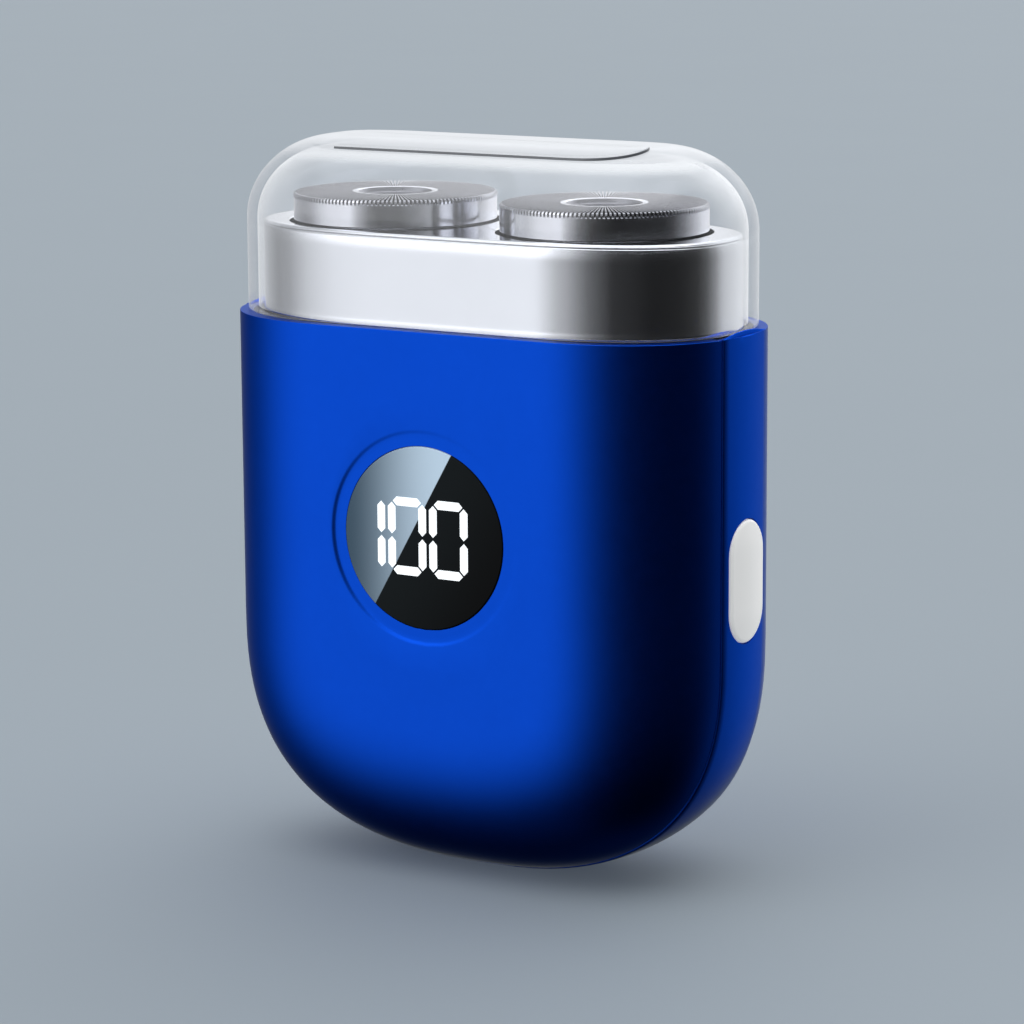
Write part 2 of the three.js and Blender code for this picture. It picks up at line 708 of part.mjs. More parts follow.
for (const [name, side] of SIDES) {
  const deckScrew = screw(5.5).translate([0, side * DECK_SCREW_Y, DECK_TOP - 0.75]);
  add(`deck_screw_${side < 0 ? "front" : "back"}`, deckScrew, steel);
  const motorScrew = screw(2.9).translate([0, side * MOTOR_SCREW_Y, BOX_BOTTOM + BOX_FLOOR + 0.05]);
  add(`motor_screw_${side < 0 ? "front" : "back"}`, motorScrew, steel);
  const boardScrew = screw(4).rotate(towardsBack);
  const boardScrewPlace = [side * BOARD_SCREW_X, boardScrewY, BOARD_SCREW_Z];
  add(`board_screw_${name}`, boardScrew.translate(boardScrewPlace), steel);
  const frameScrew = screw(4).rotate(towardsFront);
  const frameScrewPlace = [side * CHASSIS_SCREW_X, chassisScrewY, CHASSIS_SCREW_Z];
  add(`chassis_screw_${name}`, frameScrew.translate(frameScrewPlace), steel);
}

// ---------------------------------------------------------------- wires

function wire(name, points, material) {
  const curve = new THREE.CatmullRomCurve3(points.map((point) => new THREE.Vector3(...point)));
  add(name, solid(tubeAlong(curve, WIRE_RADIUS, 10, 6)), material);
}

for (const [name, side, material] of [
  ["black", -1, blackWire],
  ["red", 1, redWire],
]) {
  const batteryRoute = [
    [22.9, 0.6, 19],
    [22.6, -2.5, 24],
    [18.5, -7.2, 27],
    [13.5, -8.4, 28.5],
    [11.2, -8.5, 31],
  ];
  const motorRoute = [
    [5, -0.9, 24.4],
    [5, -5, 24.3],
    [4.8, -8.2, 25.6],
    [4.5, -8.5, 29],
  ];
  const mirrored = (route) => route.map(([x, y, z]) => [side * x, y, z]);
  wire(`battery_lead_${name}`, mirrored(batteryRoute), material);
  wire(`motor_lead_${name}`, mirrored(motorRoute), material);
}

const chargeRoute = [
  [5.3, 1.4, 6.5],
  [5.3, -4, 6],
  [5.3, -7.6, 10],
  [5.3, -8.9, 16],
  [5.3, -9.8, 23.9],
];
wire("charge_lead", chargeRoute, blackWire);

// A flat flexible cable, drawn in plan and extruded along its width.
function switchCable() {
  const thickness = 0.3;
  const run = [
    [24.9, -2],
    [23, -5.5],
    [19, -8],
    [14.5, -8.9],
  ];
  const inner = run.map(([x, y]) => new THREE.Vector2(x, y));
  const outer = run.map(([x, y]) => new THREE.Vector2(x - thickness * 0.3, y + thickness)).reverse();
  return prism(new THREE.Shape([...inner, ...outer]), BUTTON_Z - 3, BUTTON_Z + 1);
}

add("switch_cable", switchCable(), flexCable);

// ---------------------------------------------------------------- head

function headCover() {
  const height = HEAD_TOP - HEAD_BOTTOM;
  const options = {
    depth: height,
    bevelThickness: HEAD_CHAMFER,
    bevelSize: HEAD_CHAMFER,
    bevelOffset: -HEAD_CHAMFER,
    bevelSegments: 1,
    curveSegments: ARC,
  };
  const block = new THREE.ExtrudeGeometry(plan(HEAD_INSET), options);
  const outer = solid(block.translate(0, 0, HEAD_BOTTOM - HEAD_CHAMFER));
  const hollow = prism(plan(HEAD_INSET + HEAD_WALL), -FAR, HEAD_TOP - HEAD_PLATE);
  const below = box(-FAR, FAR, -FAR, FAR, -FAR, HEAD_BOTTOM);
  const holes = SIDES.map(([, side]) => rod(HEAD_HOLE_RADIUS, 0, FAR, side * HEAD_X, 0, 28));
  return cut(outer, hollow, below, ...holes);
}

// The plate under the cutters: two rims with a spoked ring round each blade's hub.
function cutterFrame() {
  const top = FRAME_Z + FRAME_THICKNESS;
  const ringInner = 3.6;
  const ringOuter = 4.8;
  const rimRadius = 10.2;
  const spokes = 3;
  let made = prism(plan(HEAD_INSET + HEAD_WALL + GAP), FRAME_Z, top);
  for (const [, side] of SIDES) {
    const x = side * HEAD_X;
    made = cut(made, rod(rimRadius, 0, FAR, x));
    let hub = rod(ringOuter, FRAME_Z, top, 0, 0, 12);
    for (let spoke = 0; spoke < spokes; spoke += 1) {
      const arm = box(ringInner, rimRadius + 0.4, -0.8, 0.8, FRAME_Z, top);
      hub = hub.add(arm.rotate([0, 0, (360 * spoke) / spokes + 90]));
    }
    made = made.add(hub.subtract(rod(ringInner, 0, FAR, 0, 0, 12)).translate([x, 0, 0]));
  }
  return made;
}

function outerCutter(side) {
  const roof = CUTTER_TOP - CUTTER_ROOF;
  const profile = [
    [0, CUTTER_TOP - 1.1],
    [4.7, CUTTER_TOP - 1.1],
    [5, roof],
    [CUTTER_BORE_RADIUS, roof],
    [CUTTER_BORE_RADIUS, CUTTER_SKIRT_Z],
    [CUTTER_SKIRT_RADIUS, CUTTER_SKIRT_Z],
    [CUTTER_SKIRT_RADIUS, CUTTER_BEAD_Z],
    [CUTTER_BEAD_RADIUS, CUTTER_BEAD_Z],
    [CUTTER_BEAD_RADIUS, CUTTER_BEAD_Z + 0.45],
    [CUTTER_RADIUS, CUTTER_BEAD_Z + 0.55],
    [CUTTER_RADIUS, CUTTER_TOP - 0.2],
    [CUTTER_RADIUS - 0.2, CUTTER_TOP],
    [4.3, CUTTER_TOP],
    [4.1, CUTTER_TOP - 0.6],
    [0, CUTTER_TOP - 0.6],
  ];
  let made = turned(profile, 0, 0, 28);
  for (const [, lugSide] of SIDES) {
    const x0 = CUTTER_BORE_RADIUS + 0.3;
    const x1 = HEAD_HOLE_RADIUS + 0.5;
    const lug = lugSide > 0 ? [x0, x1] : [-x1, -x0];
    made = made.add(box(...lug, -1.5, 1.5, CUTTER_SKIRT_Z, HEAD_TOP - HEAD_PLATE - 0.4));
  }
  for (let slot = 0; slot < CUTTER_SLOTS; slot += 1) {
    const opening = box(5.7, CUTTER_BORE_RADIUS - 0.5, -0.25, 0.25, roof - 0.4, FAR);
    made = made.subtract(opening.rotate([0, 0, (360 * (slot + 0.5)) / CUTTER_SLOTS]));
  }
  return made.translate([side * HEAD_X, 0, 0]);
}

// The turning cutter: a hub with a square socket, a disc, and blades that stand up from it.
function innerBlade(side) {
  const discBottom = 74.6;
  const discTop = 75.3;
  const hubBottom = 70.6;
  const hubTop = 76.2;
  const hubRadius = 3.2;
  const socketHalf = SPINDLE_KEY / 2 + 0.25;
  const socket = box(-socketHalf, socketHalf, -socketHalf, socketHalf, 0, SPINDLE_TOP + 1);
  let made = rod(hubRadius, hubBottom, hubTop, 0, 0, 16).add(rod(9.8, discBottom, discTop));
  for (let blade = 0; blade < BLADE_COUNT; blade += 1) {
    const fin = box(5.8, 10, -0.3, 0.3, discTop - 0.2, CUTTER_TOP - CUTTER_ROOF - GAP);
    made = made.add(fin.rotate([0, 0, (360 * blade) / BLADE_COUNT]));
  }
  return made.subtract(socket).translate([side * HEAD_X, 0, 0]);
}

add("head_cover", headCover(), chrome);
add("cutter_frame", cutterFrame(), blackPlastic);

for (const [name, side] of SIDES) {
  add(`outer_cutter_${name}`, outerCutter(side), steel);
  add(`inner_blade_${name}`, innerBlade(side), steel);
}

// ---------------------------------------------------------------- travel cap

// The cap's shape, moved inwards: straight walls and a wide round shoulder.
function capForm(inset) {
  const size = CAP_ROUND_WIDTH - inset;
  const thickness = CAP_ROUND_HEIGHT - inset;
  const top = CAP_TOP - inset;
  const depth = top - thickness - (CAP_BOTTOM - 20);
  const options = {
    depth,
    bevelThickness: thickness,
    bevelSize: size,
    bevelOffset: -size,
    bevelSegments: CAP_ROUND_STEPS,
    curveSegments: ARC,
  };
  const geometry = new THREE.ExtrudeGeometry(plan(CAP_INSET + inset), options);
  return solid(geometry.translate(0, 0, CAP_BOTTOM - 20));
}

function travelCap() {
  const below = box(-FAR, FAR, -FAR, FAR, -FAR, CAP_BOTTOM);
  return cut(capForm(0), capForm(CAP_WALL), below);
}

add("travel_cap", travelCap(), clear);

export default shaver;
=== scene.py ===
"""Looks of a pocket rotary shaver: satin blue body, round display, chrome head, clear cap.

Lengths below are millimetres unless a comment says otherwise. Meshes are made in metres.
"""

import math

import bmesh
import bpy
import numpy as np
from mathutils import Matrix, Vector


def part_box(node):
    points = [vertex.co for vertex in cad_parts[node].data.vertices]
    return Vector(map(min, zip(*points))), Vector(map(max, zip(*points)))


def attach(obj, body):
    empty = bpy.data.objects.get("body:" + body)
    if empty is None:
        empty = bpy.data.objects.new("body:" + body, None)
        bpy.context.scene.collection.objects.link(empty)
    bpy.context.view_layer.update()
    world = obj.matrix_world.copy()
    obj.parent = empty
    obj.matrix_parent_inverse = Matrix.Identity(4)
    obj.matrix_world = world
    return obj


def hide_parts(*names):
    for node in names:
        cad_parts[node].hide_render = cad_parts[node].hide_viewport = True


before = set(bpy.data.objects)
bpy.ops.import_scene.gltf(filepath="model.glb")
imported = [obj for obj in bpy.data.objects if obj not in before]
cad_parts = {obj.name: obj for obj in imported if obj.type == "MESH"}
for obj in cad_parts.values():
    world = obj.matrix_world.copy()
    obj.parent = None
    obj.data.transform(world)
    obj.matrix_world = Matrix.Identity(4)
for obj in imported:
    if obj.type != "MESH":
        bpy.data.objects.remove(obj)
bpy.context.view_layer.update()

MM = 0.001
scene = bpy.context.scene


def corners(node):
    """Lowest and highest corner of a CAD node, in millimetres."""
    low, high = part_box(node)
    return np.array(low) / MM, np.array(high) / MM


# ---------------------------------------------------------------- sizes, from the frame

shell_low, shell_high = corners("front_shell")
band_high = corners("side_band")[1]
lens_low, lens_high = corners("display_lens")
button_low, button_high = corners("power_button")
cover_low, cover_high = corners("head_cover")
cap_low, cap_high = corners("travel_cap")
port_low, port_high = corners("charge_socket")

BAND_INSET = 0.25  # from the body's widest place to the solid band's face
HALF_WIDTH = band_high[0] + BAND_INSET
HALF_DEPTH = -shell_low[1]
BODY_TOP = shell_high[2] - 0.35  # a little lower than the solid's rim
SEAM_Y = -shell_high[1]
WALL = 1.6

# plan: flat front and back that run into rounds with a soft start
ROUND_X = 18.0
ROUND_Y = 15.5
ROUND_POWER = 2.2
ROUND_STEPS = 26
FLAT_STEPS = 10
HEAD_ROUND_X = 24.0  # the head turns a little earlier than the body and the cap

# front outline: straight sides that run into a superellipse
BASE_Z = 28.3
BASE_HEIGHT = 28.8
BASE_POWER = 2.49
BASE_STEPS = 32
SIDE_STEPS = 36

LENS_SHIFT = -0.45
LENS_X = (lens_low[0] + lens_high[0]) / 2 + LENS_SHIFT
LENS_Z = (lens_low[2] + lens_high[2]) / 2
LENS_RADIUS = (lens_high[2] - lens_low[2]) / 2
LENS_SUNK = 0.03
LENS_CLEARANCE = 0.04
LENS_FRONT = -HALF_DEPTH + LENS_SUNK
DISH_RADIUS = 12.3
DISH_SLOPE = 0.6  # width of the slope from its rim to its floor
DISH_FLOOR_RADIUS = 11.4
DISH_DEPTH = 0.2
DISH_LOW_SIDE = 205  # degrees: the dish is deepest here and runs out on the other side


# ---------------------------------------------------------------- mesh tools


def recalculate(mesh, outward=None):
    """Turns faces outwards; outward is a direction that an open skin's faces point along."""
    made = bmesh.new()
    made.from_mesh(mesh)
    bmesh.ops.remove_doubles(made, verts=made.verts, dist=1e-7)
    bmesh.ops.recalc_face_normals(made, faces=made.faces)
    if outward is not None:
        lean = sum((face.normal * face.calc_area() for face in made.faces), Vector())
        if lean.dot(Vector(outward)) < 0:
            bmesh.ops.reverse_faces(made, faces=made.faces)
    made.to_mesh(mesh)
    made.free()


def piece(name, vertices, faces, body, material, replaces=(), slot=None, sharp=32, outward=None):
    """Makes one smooth-shaded mesh object that rides on a body."""
    mesh = bpy.data.meshes.new(name)
    mesh.from_pydata((np.asarray(vertices, float) * MM).tolist(), [], faces)
    for each in material if isinstance(material, (list, tuple)) else [material]:
        mesh.materials.append(each)
    recalculate(mesh, outward)
    mesh.polygons.foreach_set("use_smooth", [True] * len(mesh.polygons))
    mesh.set_sharp_from_angle(angle=math.radians(sharp))
    made = bpy.data.objects.new(name, mesh)
    scene.collection.objects.link(made)
    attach(made, body)
    if replaces:
        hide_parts(*replaces)
    return made


def bevel(made, width, segments, angle):
    """Rounds the edges that turn by more than an angle in degrees."""
    modifier = made.modifiers.new("edges", "BEVEL")
    modifier.width = width * MM
    modifier.segments = segments
    modifier.limit_method = "ANGLE"
    modifier.angle_limit = math.radians(angle)
    modifier.use_clamp_overlap = False
    modifier.harden_normals = True
    return modifier


def thicken(made, thickness):
    """Gives an open skin a wall that grows inwards."""
    modifier = made.modifiers.new("wall", "SOLIDIFY")
    modifier.thickness = thickness * MM
    modifier.offset = -1
    modifier.use_even_offset = True


def skin(rings, closed=True):
    """Faces between neighbouring rings that all have the same number of points."""
    count = len(rings[0])
    faces = []
    for row in range(len(rings) - 1):
        here, there = row * count, (row + 1) * count
        for column in range(count if closed else count - 1):
            after = (column + 1) % count
            faces.append((here + column, here + after, there + after, there + column))
    return faces


def loft(rings):
    """Vertices and faces of a solid between a first and a last ring that are filled in."""
    count = len(rings[0])
    last = (len(rings) - 1) * count
    faces = skin(rings)
    faces.append(tuple(reversed(range(count))))
    faces.append(tuple(last + column for column in range(count)))
    return np.concatenate(rings), faces


def turned(profile, centre=(0, 0), sides=96):
    """Rings of a profile of (radius, z) points turned about a vertical axis."""
    angle = np.linspace(0, 2 * math.pi, sides, endpoint=False)
    rings = []
    for radius, z in profile:
        x = centre[0] + radius * np.cos(angle)
        y = centre[1] + radius * np.sin(angle)
        rings.append(np.stack([x, y, np.full(sides, z)], 1))
    return rings


def arc(centre, radius, start, end, steps):
    """Points on an arc, from one angle to another in degrees; radius may differ by axis."""
    rx, ry = radius if isinstance(radius, tuple) else (radius, radius)
    angles = np.radians(np.linspace(start, end, steps + 1))
    return [(centre[0] + rx * math.cos(a), centre[1] + ry * math.sin(a)) for a in angles]


# ---------------------------------------------------------------- outlines


def round_quarter(round_x):
    """One quarter of the plan's round end: x, y from its centre, and its outward normal."""
    angle = np.linspace(0, math.pi / 2, ROUND_STEPS + 1)
    across = np.cos(angle).clip(0) ** (2 / ROUND_POWER)
    along = np.sin(angle).clip(0) ** (2 / ROUND_POWER)
    normal = np.stack([across ** (ROUND_POWER - 1) / round_x, along ** (ROUND_POWER - 1) / ROUND_Y])
    normal /= np.linalg.norm(normal, axis=0)
    return round_x * across, ROUND_Y * along, normal[0], normal[1]


def plan_curve(round_x):
    """Points and outward normals of the whole plan, anticlockwise from +X."""
    x, y, nx, ny = round_quarter(round_x)
    x, y = x + HALF_WIDTH - round_x, y + HALF_DEPTH - ROUND_Y
    quarter = np.stack([x, y, nx, ny], 1)
    half_flat = HALF_WIDTH - round_x
    flat_x = np.linspace(half_flat, -half_flat, FLAT_STEPS + 2)[1:-1]
    flat_y = np.full(FLAT_STEPS, HALF_DEPTH)
    flat = np.stack([flat_x, flat_y, np.zeros(FLAT_STEPS), np.ones(FLAT_STEPS)], 1)
    mirror_x, mirror_y = np.array([-1, 1, -1, 1]), np.array([1, -1, 1, -1])
    upper = np.concatenate([quarter, flat, (quarter * mirror_x)[::-1]])
    lower = (upper * mirror_y)[::-1]
    whole = np.concatenate([upper, lower])
    return whole[:, :2], whole[:, 2:]


PLAN, PLAN_NORMAL = plan_curve(ROUND_X)
HEAD_PLAN, HEAD_NORMAL = plan_curve(HEAD_ROUND_X)


def plan_ring(inset, z, plan=PLAN, normal=PLAN_NORMAL):
    """A plan moved inwards, at one height."""
    flat = plan - inset * normal
    return np.column_stack([flat, np.full(len(flat), z)])


def outline_curve():
    """Front outline from its top right corner, round the base, to its top left corner."""
    side_z = np.linspace(BODY_TOP, BASE_Z, SIDE_STEPS, endpoint=False)
    side = np.stack([np.full(SIDE_STEPS, HALF_WIDTH), side_z], 1)
    side_normal = np.tile([1.0, 0.0], (SIDE_STEPS, 1))
    facing = np.linspace(0, math.pi / 2, BASE_STEPS + 1)[:-1]
    slope = np.tan(facing) * BASE_HEIGHT / HALF_WIDTH
    ratio = slope ** (1 / (BASE_POWER - 1))
    across = (1 + ratio**BASE_POWER) ** (-1 / BASE_POWER)
    base = np.stack([HALF_WIDTH * across, BASE_Z - BASE_HEIGHT * ratio * across], 1)
    base_normal = np.stack([np.cos(facing), -np.sin(facing)], 1)
    right = np.concatenate([side, base])
    right_normal = np.concatenate([side_normal, base_normal])
    middle = np.array([[0.0, BASE_Z - BASE_HEIGHT]])
    mirror = np.array([-1.0, 1.0])
    points = np.concatenate([right, middle, (right * mirror)[::-1]])
    normals = np.concatenate([right_normal, [[0.0, -1.0]], (right_normal * mirror)[::-1]])
    return points, normals


OUTLINE, OUTLINE_NORMAL = outline_curve()


def outline_row(inset, y):
    """The outline moved inwards, at one depth, and cut off flat at the ground."""
    flat = OUTLINE - inset * OUTLINE_NORMAL
    return np.column_stack([flat[:, 0], np.full(len(flat), y), flat[:, 1].clip(0)])


# ---------------------------------------------------------------- material tools


def node(tree, kind, inputs=None, **settings):
    """Adds a shader node. inputs gives each socket a value or the output that feeds it."""
    made = tree.nodes.new(kind)
    for key, value in settings.items():
        setattr(made, key, value)
    for key, value in (inputs or {}).items():
        if isinstance(value, bpy.types.NodeSocket):
            tree.links.new(value, made.inputs[key])
        else:
            made.inputs[key].default_value = value
    return made


def math_node(tree, operation, *values, clamp=False):
    """The result of a sum or a function of numbers and outputs."""
    made = node(tree, "ShaderNodeMath", dict(enumerate(values)), operation=operation)
    made.use_clamp = clamp
    return made.outputs[0]


def map_range(tree, value, low, high):
    """Stretches a value from 0 to 1 over another range."""
    inputs = {"Value": value, "To Min": low, "To Max": high}
    return node(tree, "ShaderNodeMapRange", inputs).outputs[0]


def smooth_step(tree, value, start, end, low=0.0, high=1.0):
    """Goes smoothly from low to high while value goes from start to end."""
    inputs = {"Value": value, "From Min": start, "From Max": end, "To Min": low, "To Max": high}
    return node(tree, "ShaderNodeMapRange", inputs, interpolation_type="SMOOTHSTEP").outputs[0]


def new_material(name):
    """A material and its empty node tree."""
    material = bpy.data.materials.new(name)
    material.use_nodes = True
    material.node_tree.nodes.clear()
    return material, material.node_tree


def show(tree, shader):
    """Makes a shader node the surface of its material."""
    output = node(tree, "ShaderNodeOutputMaterial")
    tree.links.new(shader.outputs[0], output.inputs["Surface"])


def principled(tree, **sockets):
    """Shows a Principled surface; an underscore in a socket's name stands for a space."""
    inputs = {key.replace("_", " "): value for key, value in sockets.items()}
    show(tree, node(tree, "ShaderNodeBsdfPrincipled", inputs))


def place(tree, stretch=(1, 1, 1)):
    """The point on the object, in millimetres, stretched for a grain that runs one way."""
    point = node(tree, "ShaderNodeTexCoord").outputs["Object"]
    scale = [each / MM for each in stretch]
    return node(tree, "ShaderNodeMapping", {"Vector": point, "Scale": scale}).outputs[0]


def noise(tree, size, stretch=(1, 1, 1), detail=3.0):
    """Noise from 0 to 1 with features of about this size in millimetres."""
    inputs = {"Vector": place(tree, stretch), "Scale": 1 / size, "Detail": detail, "Roughness": 0.5}
    return node(tree, "ShaderNodeTexNoise", inputs).outputs["Fac"]


def tone(colour, share):
    """A colour made darker or lighter, as the four numbers that a socket wants."""
    return (*[min(1.0, each * share) for each in colour[:3]], 1.0)


def mix_colour(tree, factor, first, second):
    """A colour between two; each is four numbers or the output that feeds it."""
    made = node(tree, "ShaderNodeMix", {"Factor": factor}, data_type="RGBA")
    for index, value in ((6, first), (7, second)):  # the node's two colour sockets
        if isinstance(value, bpy.types.NodeSocket):
            tree.links.new(value, made.inputs[index])
        else:
            made.inputs[index].default_value = value
    return made.outputs[2]


def bump(tree, height, depth):
    """A surface relief, depth millimetres deep."""
    inputs = {"Height": height, "Distance": depth * MM, "Strength": 1.0}
    return node(tree, "ShaderNodeBump", inputs).outputs[0]


def finish(
    name,
    colour,
    roughness,
    metallic=0.0,
    mottle=0.05,
    mottle_size=4.0,
    polish=0.04,
    grain=0.25,
    grain_depth=0.004,
    stretch=(1, 1, 1),
    **sockets,
):
    """A moulded, painted or machined surface.

    mottle is how far its colour drifts, polish how far its roughness drifts, and grain the size
    of its fine relief, grain_depth deep. stretch draws the grain out along an axis.
    """
    material, tree = new_material(name)
    drift = noise(tree, mottle_size, detail=4.0)
    base = mix_colour(tree, drift, tone(colour, 1 - mottle), tone(colour, 1 + mottle))
    rub = noise(tree, grain * 6, stretch, detail=5.0)
    rough = map_range(tree, rub, roughness - polish, roughness + polish)
    relief = bump(tree, noise(tree, grain, stretch, detail=2.0), grain_depth)
    principled(tree, Base_Color=base, Roughness=rough, Metallic=metallic, Normal=relief, **sockets)
    return material


# ---------------------------------------------------------------- materials

blue = finish("satin_blue", (0.0037, 0.075, 0.64), 0.38, 1.0, mottle=0.03, mottle_size=9,
              polish=0.03, grain=0.22, grain_depth=0.0012, Specular_Tint=(0.5, 0.5, 0.28, 1))
chrome = finish("chrome", (0.8, 0.818, 0.848), 0.11, 1.0, mottle=0.015, mottle_size=6,
                polish=0.025, grain=0.5, grain_depth=0.0004, stretch=(1, 1, 0.2))
cutter_steel = finish("cutter_steel", (0.72, 0.73, 0.77), 0.13, 1.0, mottle=0.04, mottle_size=3,
                      polish=0.05, grain=0.12, grain_depth=0.0012)
face_steel = finish("cutter_face", (0.34, 0.34, 0.37), 0.3, 1.0, mottle=0.1, mottle_size=1.5,
                    polish=0.08, grain=0.1, grain_depth=0.003)
# dark metal for the slot floors: painted shade
slot_shade = finish("slot_shade", (0.16, 0.16, 0.18), 0.45, 0.9, mottle=0.2, mottle_size=1,
                    grain=0.1)
ground_steel = finish("ground_steel", (0.62, 0.63, 0.66), 0.3, 1.0, mottle=0.05, mottle_size=2,
                      polish=0.06, grain=0.08, grain_depth=0.002)
IVORY = (0.86, 0.845, 0.82)
# the button glows a little in its own colour: painted light that brightens it
ivory = finish("ivory", IVORY, 0.38, mottle=0.015, mottle_size=3, grain=0.15, grain_depth=0.002,
               Emission_Color=(*IVORY, 1), Emission_Strength=0.34)
black_plastic = finish("black_plastic", (0.022, 0.023, 0.026), 0.5, mottle=0.2, mottle_size=3,
                       polish=0.08, grain=0.2, grain_depth=0.008)
grey_plastic = finish("grey_plastic", (0.17, 0.18, 0.2), 0.48, mottle=0.08, grain_depth=0.008)
white_plastic = finish("white_plastic", (0.78, 0.78, 0.76), 0.42, mottle=0.04)
rubber = finish("rubber", (0.02, 0.021, 0.023), 0.75, mottle=0.2, grain=0.15, grain_depth=0.012)
brass = finish("brass", (0.72, 0.5, 0.18), 0.3, 1.0, mottle=0.08, grain=0.1, stretch=(1, 1, 6))
dark_iron = finish("dark_iron", (0.12, 0.12, 0.13), 0.55, 0.9, mottle=0.2, mottle_size=1.5,
                   grain=0.1, grain_depth=0.01)
cell_wrap = finish("cell_wrap", (0.05, 0.3, 0.17), 0.4, mottle=0.06, mottle_size=6, grain=0.6,
                   grain_depth=0.006)
red_wire = finish("red_wire", (0.5, 0.02, 0.03), 0.5, mottle=0.1, mottle_size=1)
black_wire = finish("black_wire", (0.015, 0.015, 0.017), 0.5, mottle=0.3, mottle_size=1)

# ---------------------------------------------------------------- materials of the display

SHEEN_FOOT = Vector((-6.56, -8.1))  # two places on the slanting edge of the painted reflection, from the window's middle
SHEEN_HEAD = Vector((3.74, 9.8))


def lens_material():
    """Black polished glass with a painted reflection: a pale sheen above a slanting edge, and a
    glow.
    """
    material, tree = new_material("display_glass")
    parts = node(tree, "ShaderNodeSeparateXYZ", {"Vector": place(tree)})
    x = math_node(tree, "SUBTRACT", parts.outputs[0], LENS_X)
    z = math_node(tree, "SUBTRACT", parts.outputs[2], LENS_Z)
    along = (SHEEN_HEAD - SHEEN_FOOT).normalized()
    share_x = math_node(tree, "MULTIPLY", math_node(tree, "SUBTRACT", x, SHEEN_FOOT.x), -along.y)
    share_z = math_node(tree, "MULTIPLY", math_node(tree, "SUBTRACT", z, SHEEN_FOOT.y), along.x)
    distance = math_node(tree, "ADD", share_x, share_z)
    above = smooth_step(tree, distance, -0.05, 0.05)
    # the painted reflection: pale above the slanting edge, lighter towards the button side
    sheen = node(tree, "ShaderNodeValToRGB", {"Fac": smooth_step(tree, x, -10.5, 3.0)})
    sheen.color_ramp.elements[0].color = (0.045, 0.075, 0.105, 1)
    sheen.color_ramp.elements[1].color = (0.45, 0.56, 0.66, 1)
    # below the edge the glass is painted a little lighter near the edge, part of the painted
    # reflection
    dark = node(tree, "ShaderNodeValToRGB", {"Fac": smooth_step(tree, distance, -14, 0)})
    dark.color_ramp.elements[0].color = (0.001, 0.0011, 0.0013, 1)
    dark.color_ramp.elements[1].color = (0.005, 0.007, 0.008, 1)
    colour = mix_colour(tree, above, dark.outputs[0], sheen.outputs[0])
    rough = map_range(tree, noise(tree, 5.0, detail=4.0), 0.04, 0.1)
    # the glass glows in its own colours, so the painted reflection glows too
    principled(tree, Base_Color=colour, Roughness=rough, Emission_Color=colour,
               Emission_Strength=0.45, Specular_IOR_Level=0.05)
    return material


def digit_material():
    """Lit white display strokes, faintly uneven."""
    material, tree = new_material("display_light")
    glow = mix_colour(tree, noise(tree, 1.2), (0.86, 0.9, 0.92, 1), (0.97, 1, 1, 1))
    principled(tree, Base_Color=glow, Roughness=0.4, Emission_Color=glow, Emission_Strength=0.7)
    return material


# ---------------------------------------------------------------- materials of the clear cap

# heights where the veil starts to whiten the top, partly a painted highlight, and where the painted
# highlight of the inner shoulder starts
TOP_VEIL_Z = cap_high[2] - 2.6
HIGHLIGHT_Z = cap_high[2] - 3.0
CLEAR_TINT = (0.985, 0.985, 0.99, 1)
VEIL_COLOUR = (0.2, 0.205, 0.21, 1)
INSIDE_VEIL_COLOUR = (0.24, 0.245, 0.25, 1)
# the veils glow in these colours: painted light. The glow of the inside and of the inner shoulder is
# brightest, a painted highlight; the panel line's glow is nearly black, painted shade
CAP_GLOW = (0.36, 0.375, 0.4, 1)
INSIDE_GLOW = (0.62, 0.64, 0.66, 1)
HIGHLIGHT_GLOW = (0.72, 0.745, 0.77, 1)
DARK_LINE_GLOW = (0.015, 0.016, 0.018, 1)


def clear_material(
    name,
    glow,
    edge_veil,
    edge_power=3.0,
    face_veil=0.003,
    top_veil=0.0,
    highlight_veil=0.0,
    veil_colour=VEIL_COLOUR,
    tint=CLEAR_TINT,
):
    """Clear moulded plastic: see-through, with a milky veil that glows: painted light.

    The veil grows from face_veil, where a wall is seen face on, to edge_veil at its outline, a
    painted highlight along the outline. The thick top adds top_veil, partly its own milkiness and
    partly a painted highlight, and the bright inner shoulder highlight_veil, a painted highlight.
    """
    material, tree = new_material(name)
    cloud = noise(tree, 7.0, detail=4.0)
    facing = node(tree, "ShaderNodeLayerWeight", {"Blend": 0.5}).outputs["Facing"]
    edge = map_range(tree, math_node(tree, "POWER", facing, edge_power), face_veil, edge_veil)
    height = node(tree, "ShaderNodeSeparateXYZ", {"Vector": place(tree)}).outputs[2]
    top = smooth_step(tree, height, TOP_VEIL_Z, TOP_VEIL_Z + 1.3, 0.0, top_veil)
    veil = math_node(tree, "ADD", edge, top)
    if highlight_veil:
        highlight = smooth_step(tree, height, HIGHLIGHT_Z, HIGHLIGHT_Z + 1.5, 0.0, highlight_veil)
        veil = math_node(tree, "ADD", veil, highlight)
    drift = math_node(tree, "MULTIPLY_ADD", cloud, 0.2, 0.9)
    veil = math_node(tree, "MULTIPLY", veil, drift, clamp=True)
    mirror = math_node(tree, "MULTIPLY_ADD", math_node(tree, "POWER", facing, 5.0), 0.36, 0.035)
    ripple = bump(tree, noise(tree, 9.0, detail=1.0), 0.004)
    see = node(tree, "ShaderNodeBsdfTransparent", {"Color": tint})
    milk = node(tree, "ShaderNodeBsdfPrincipled", {
        "Base Color": veil_colour,
        "Roughness": 0.5,
        "Normal": ripple,
        "Emission Color": glow,
        "Emission Strength": 1.0,
    })
    wall = node(tree, "ShaderNodeMixShader", {0: veil, 1: see.outputs[0], 2: milk.outputs[0]})
    white = (1, 1, 1, 1)
    gloss = node(tree, "ShaderNodeBsdfGlossy", {"Color": white, "Roughness": 0.06, "Normal": ripple})
    layers = {0: mirror, 1: wall.outputs[0], 2: gloss.outputs[0]}
    show(tree, node(tree, "ShaderNodeMixShader", layers))
    return material


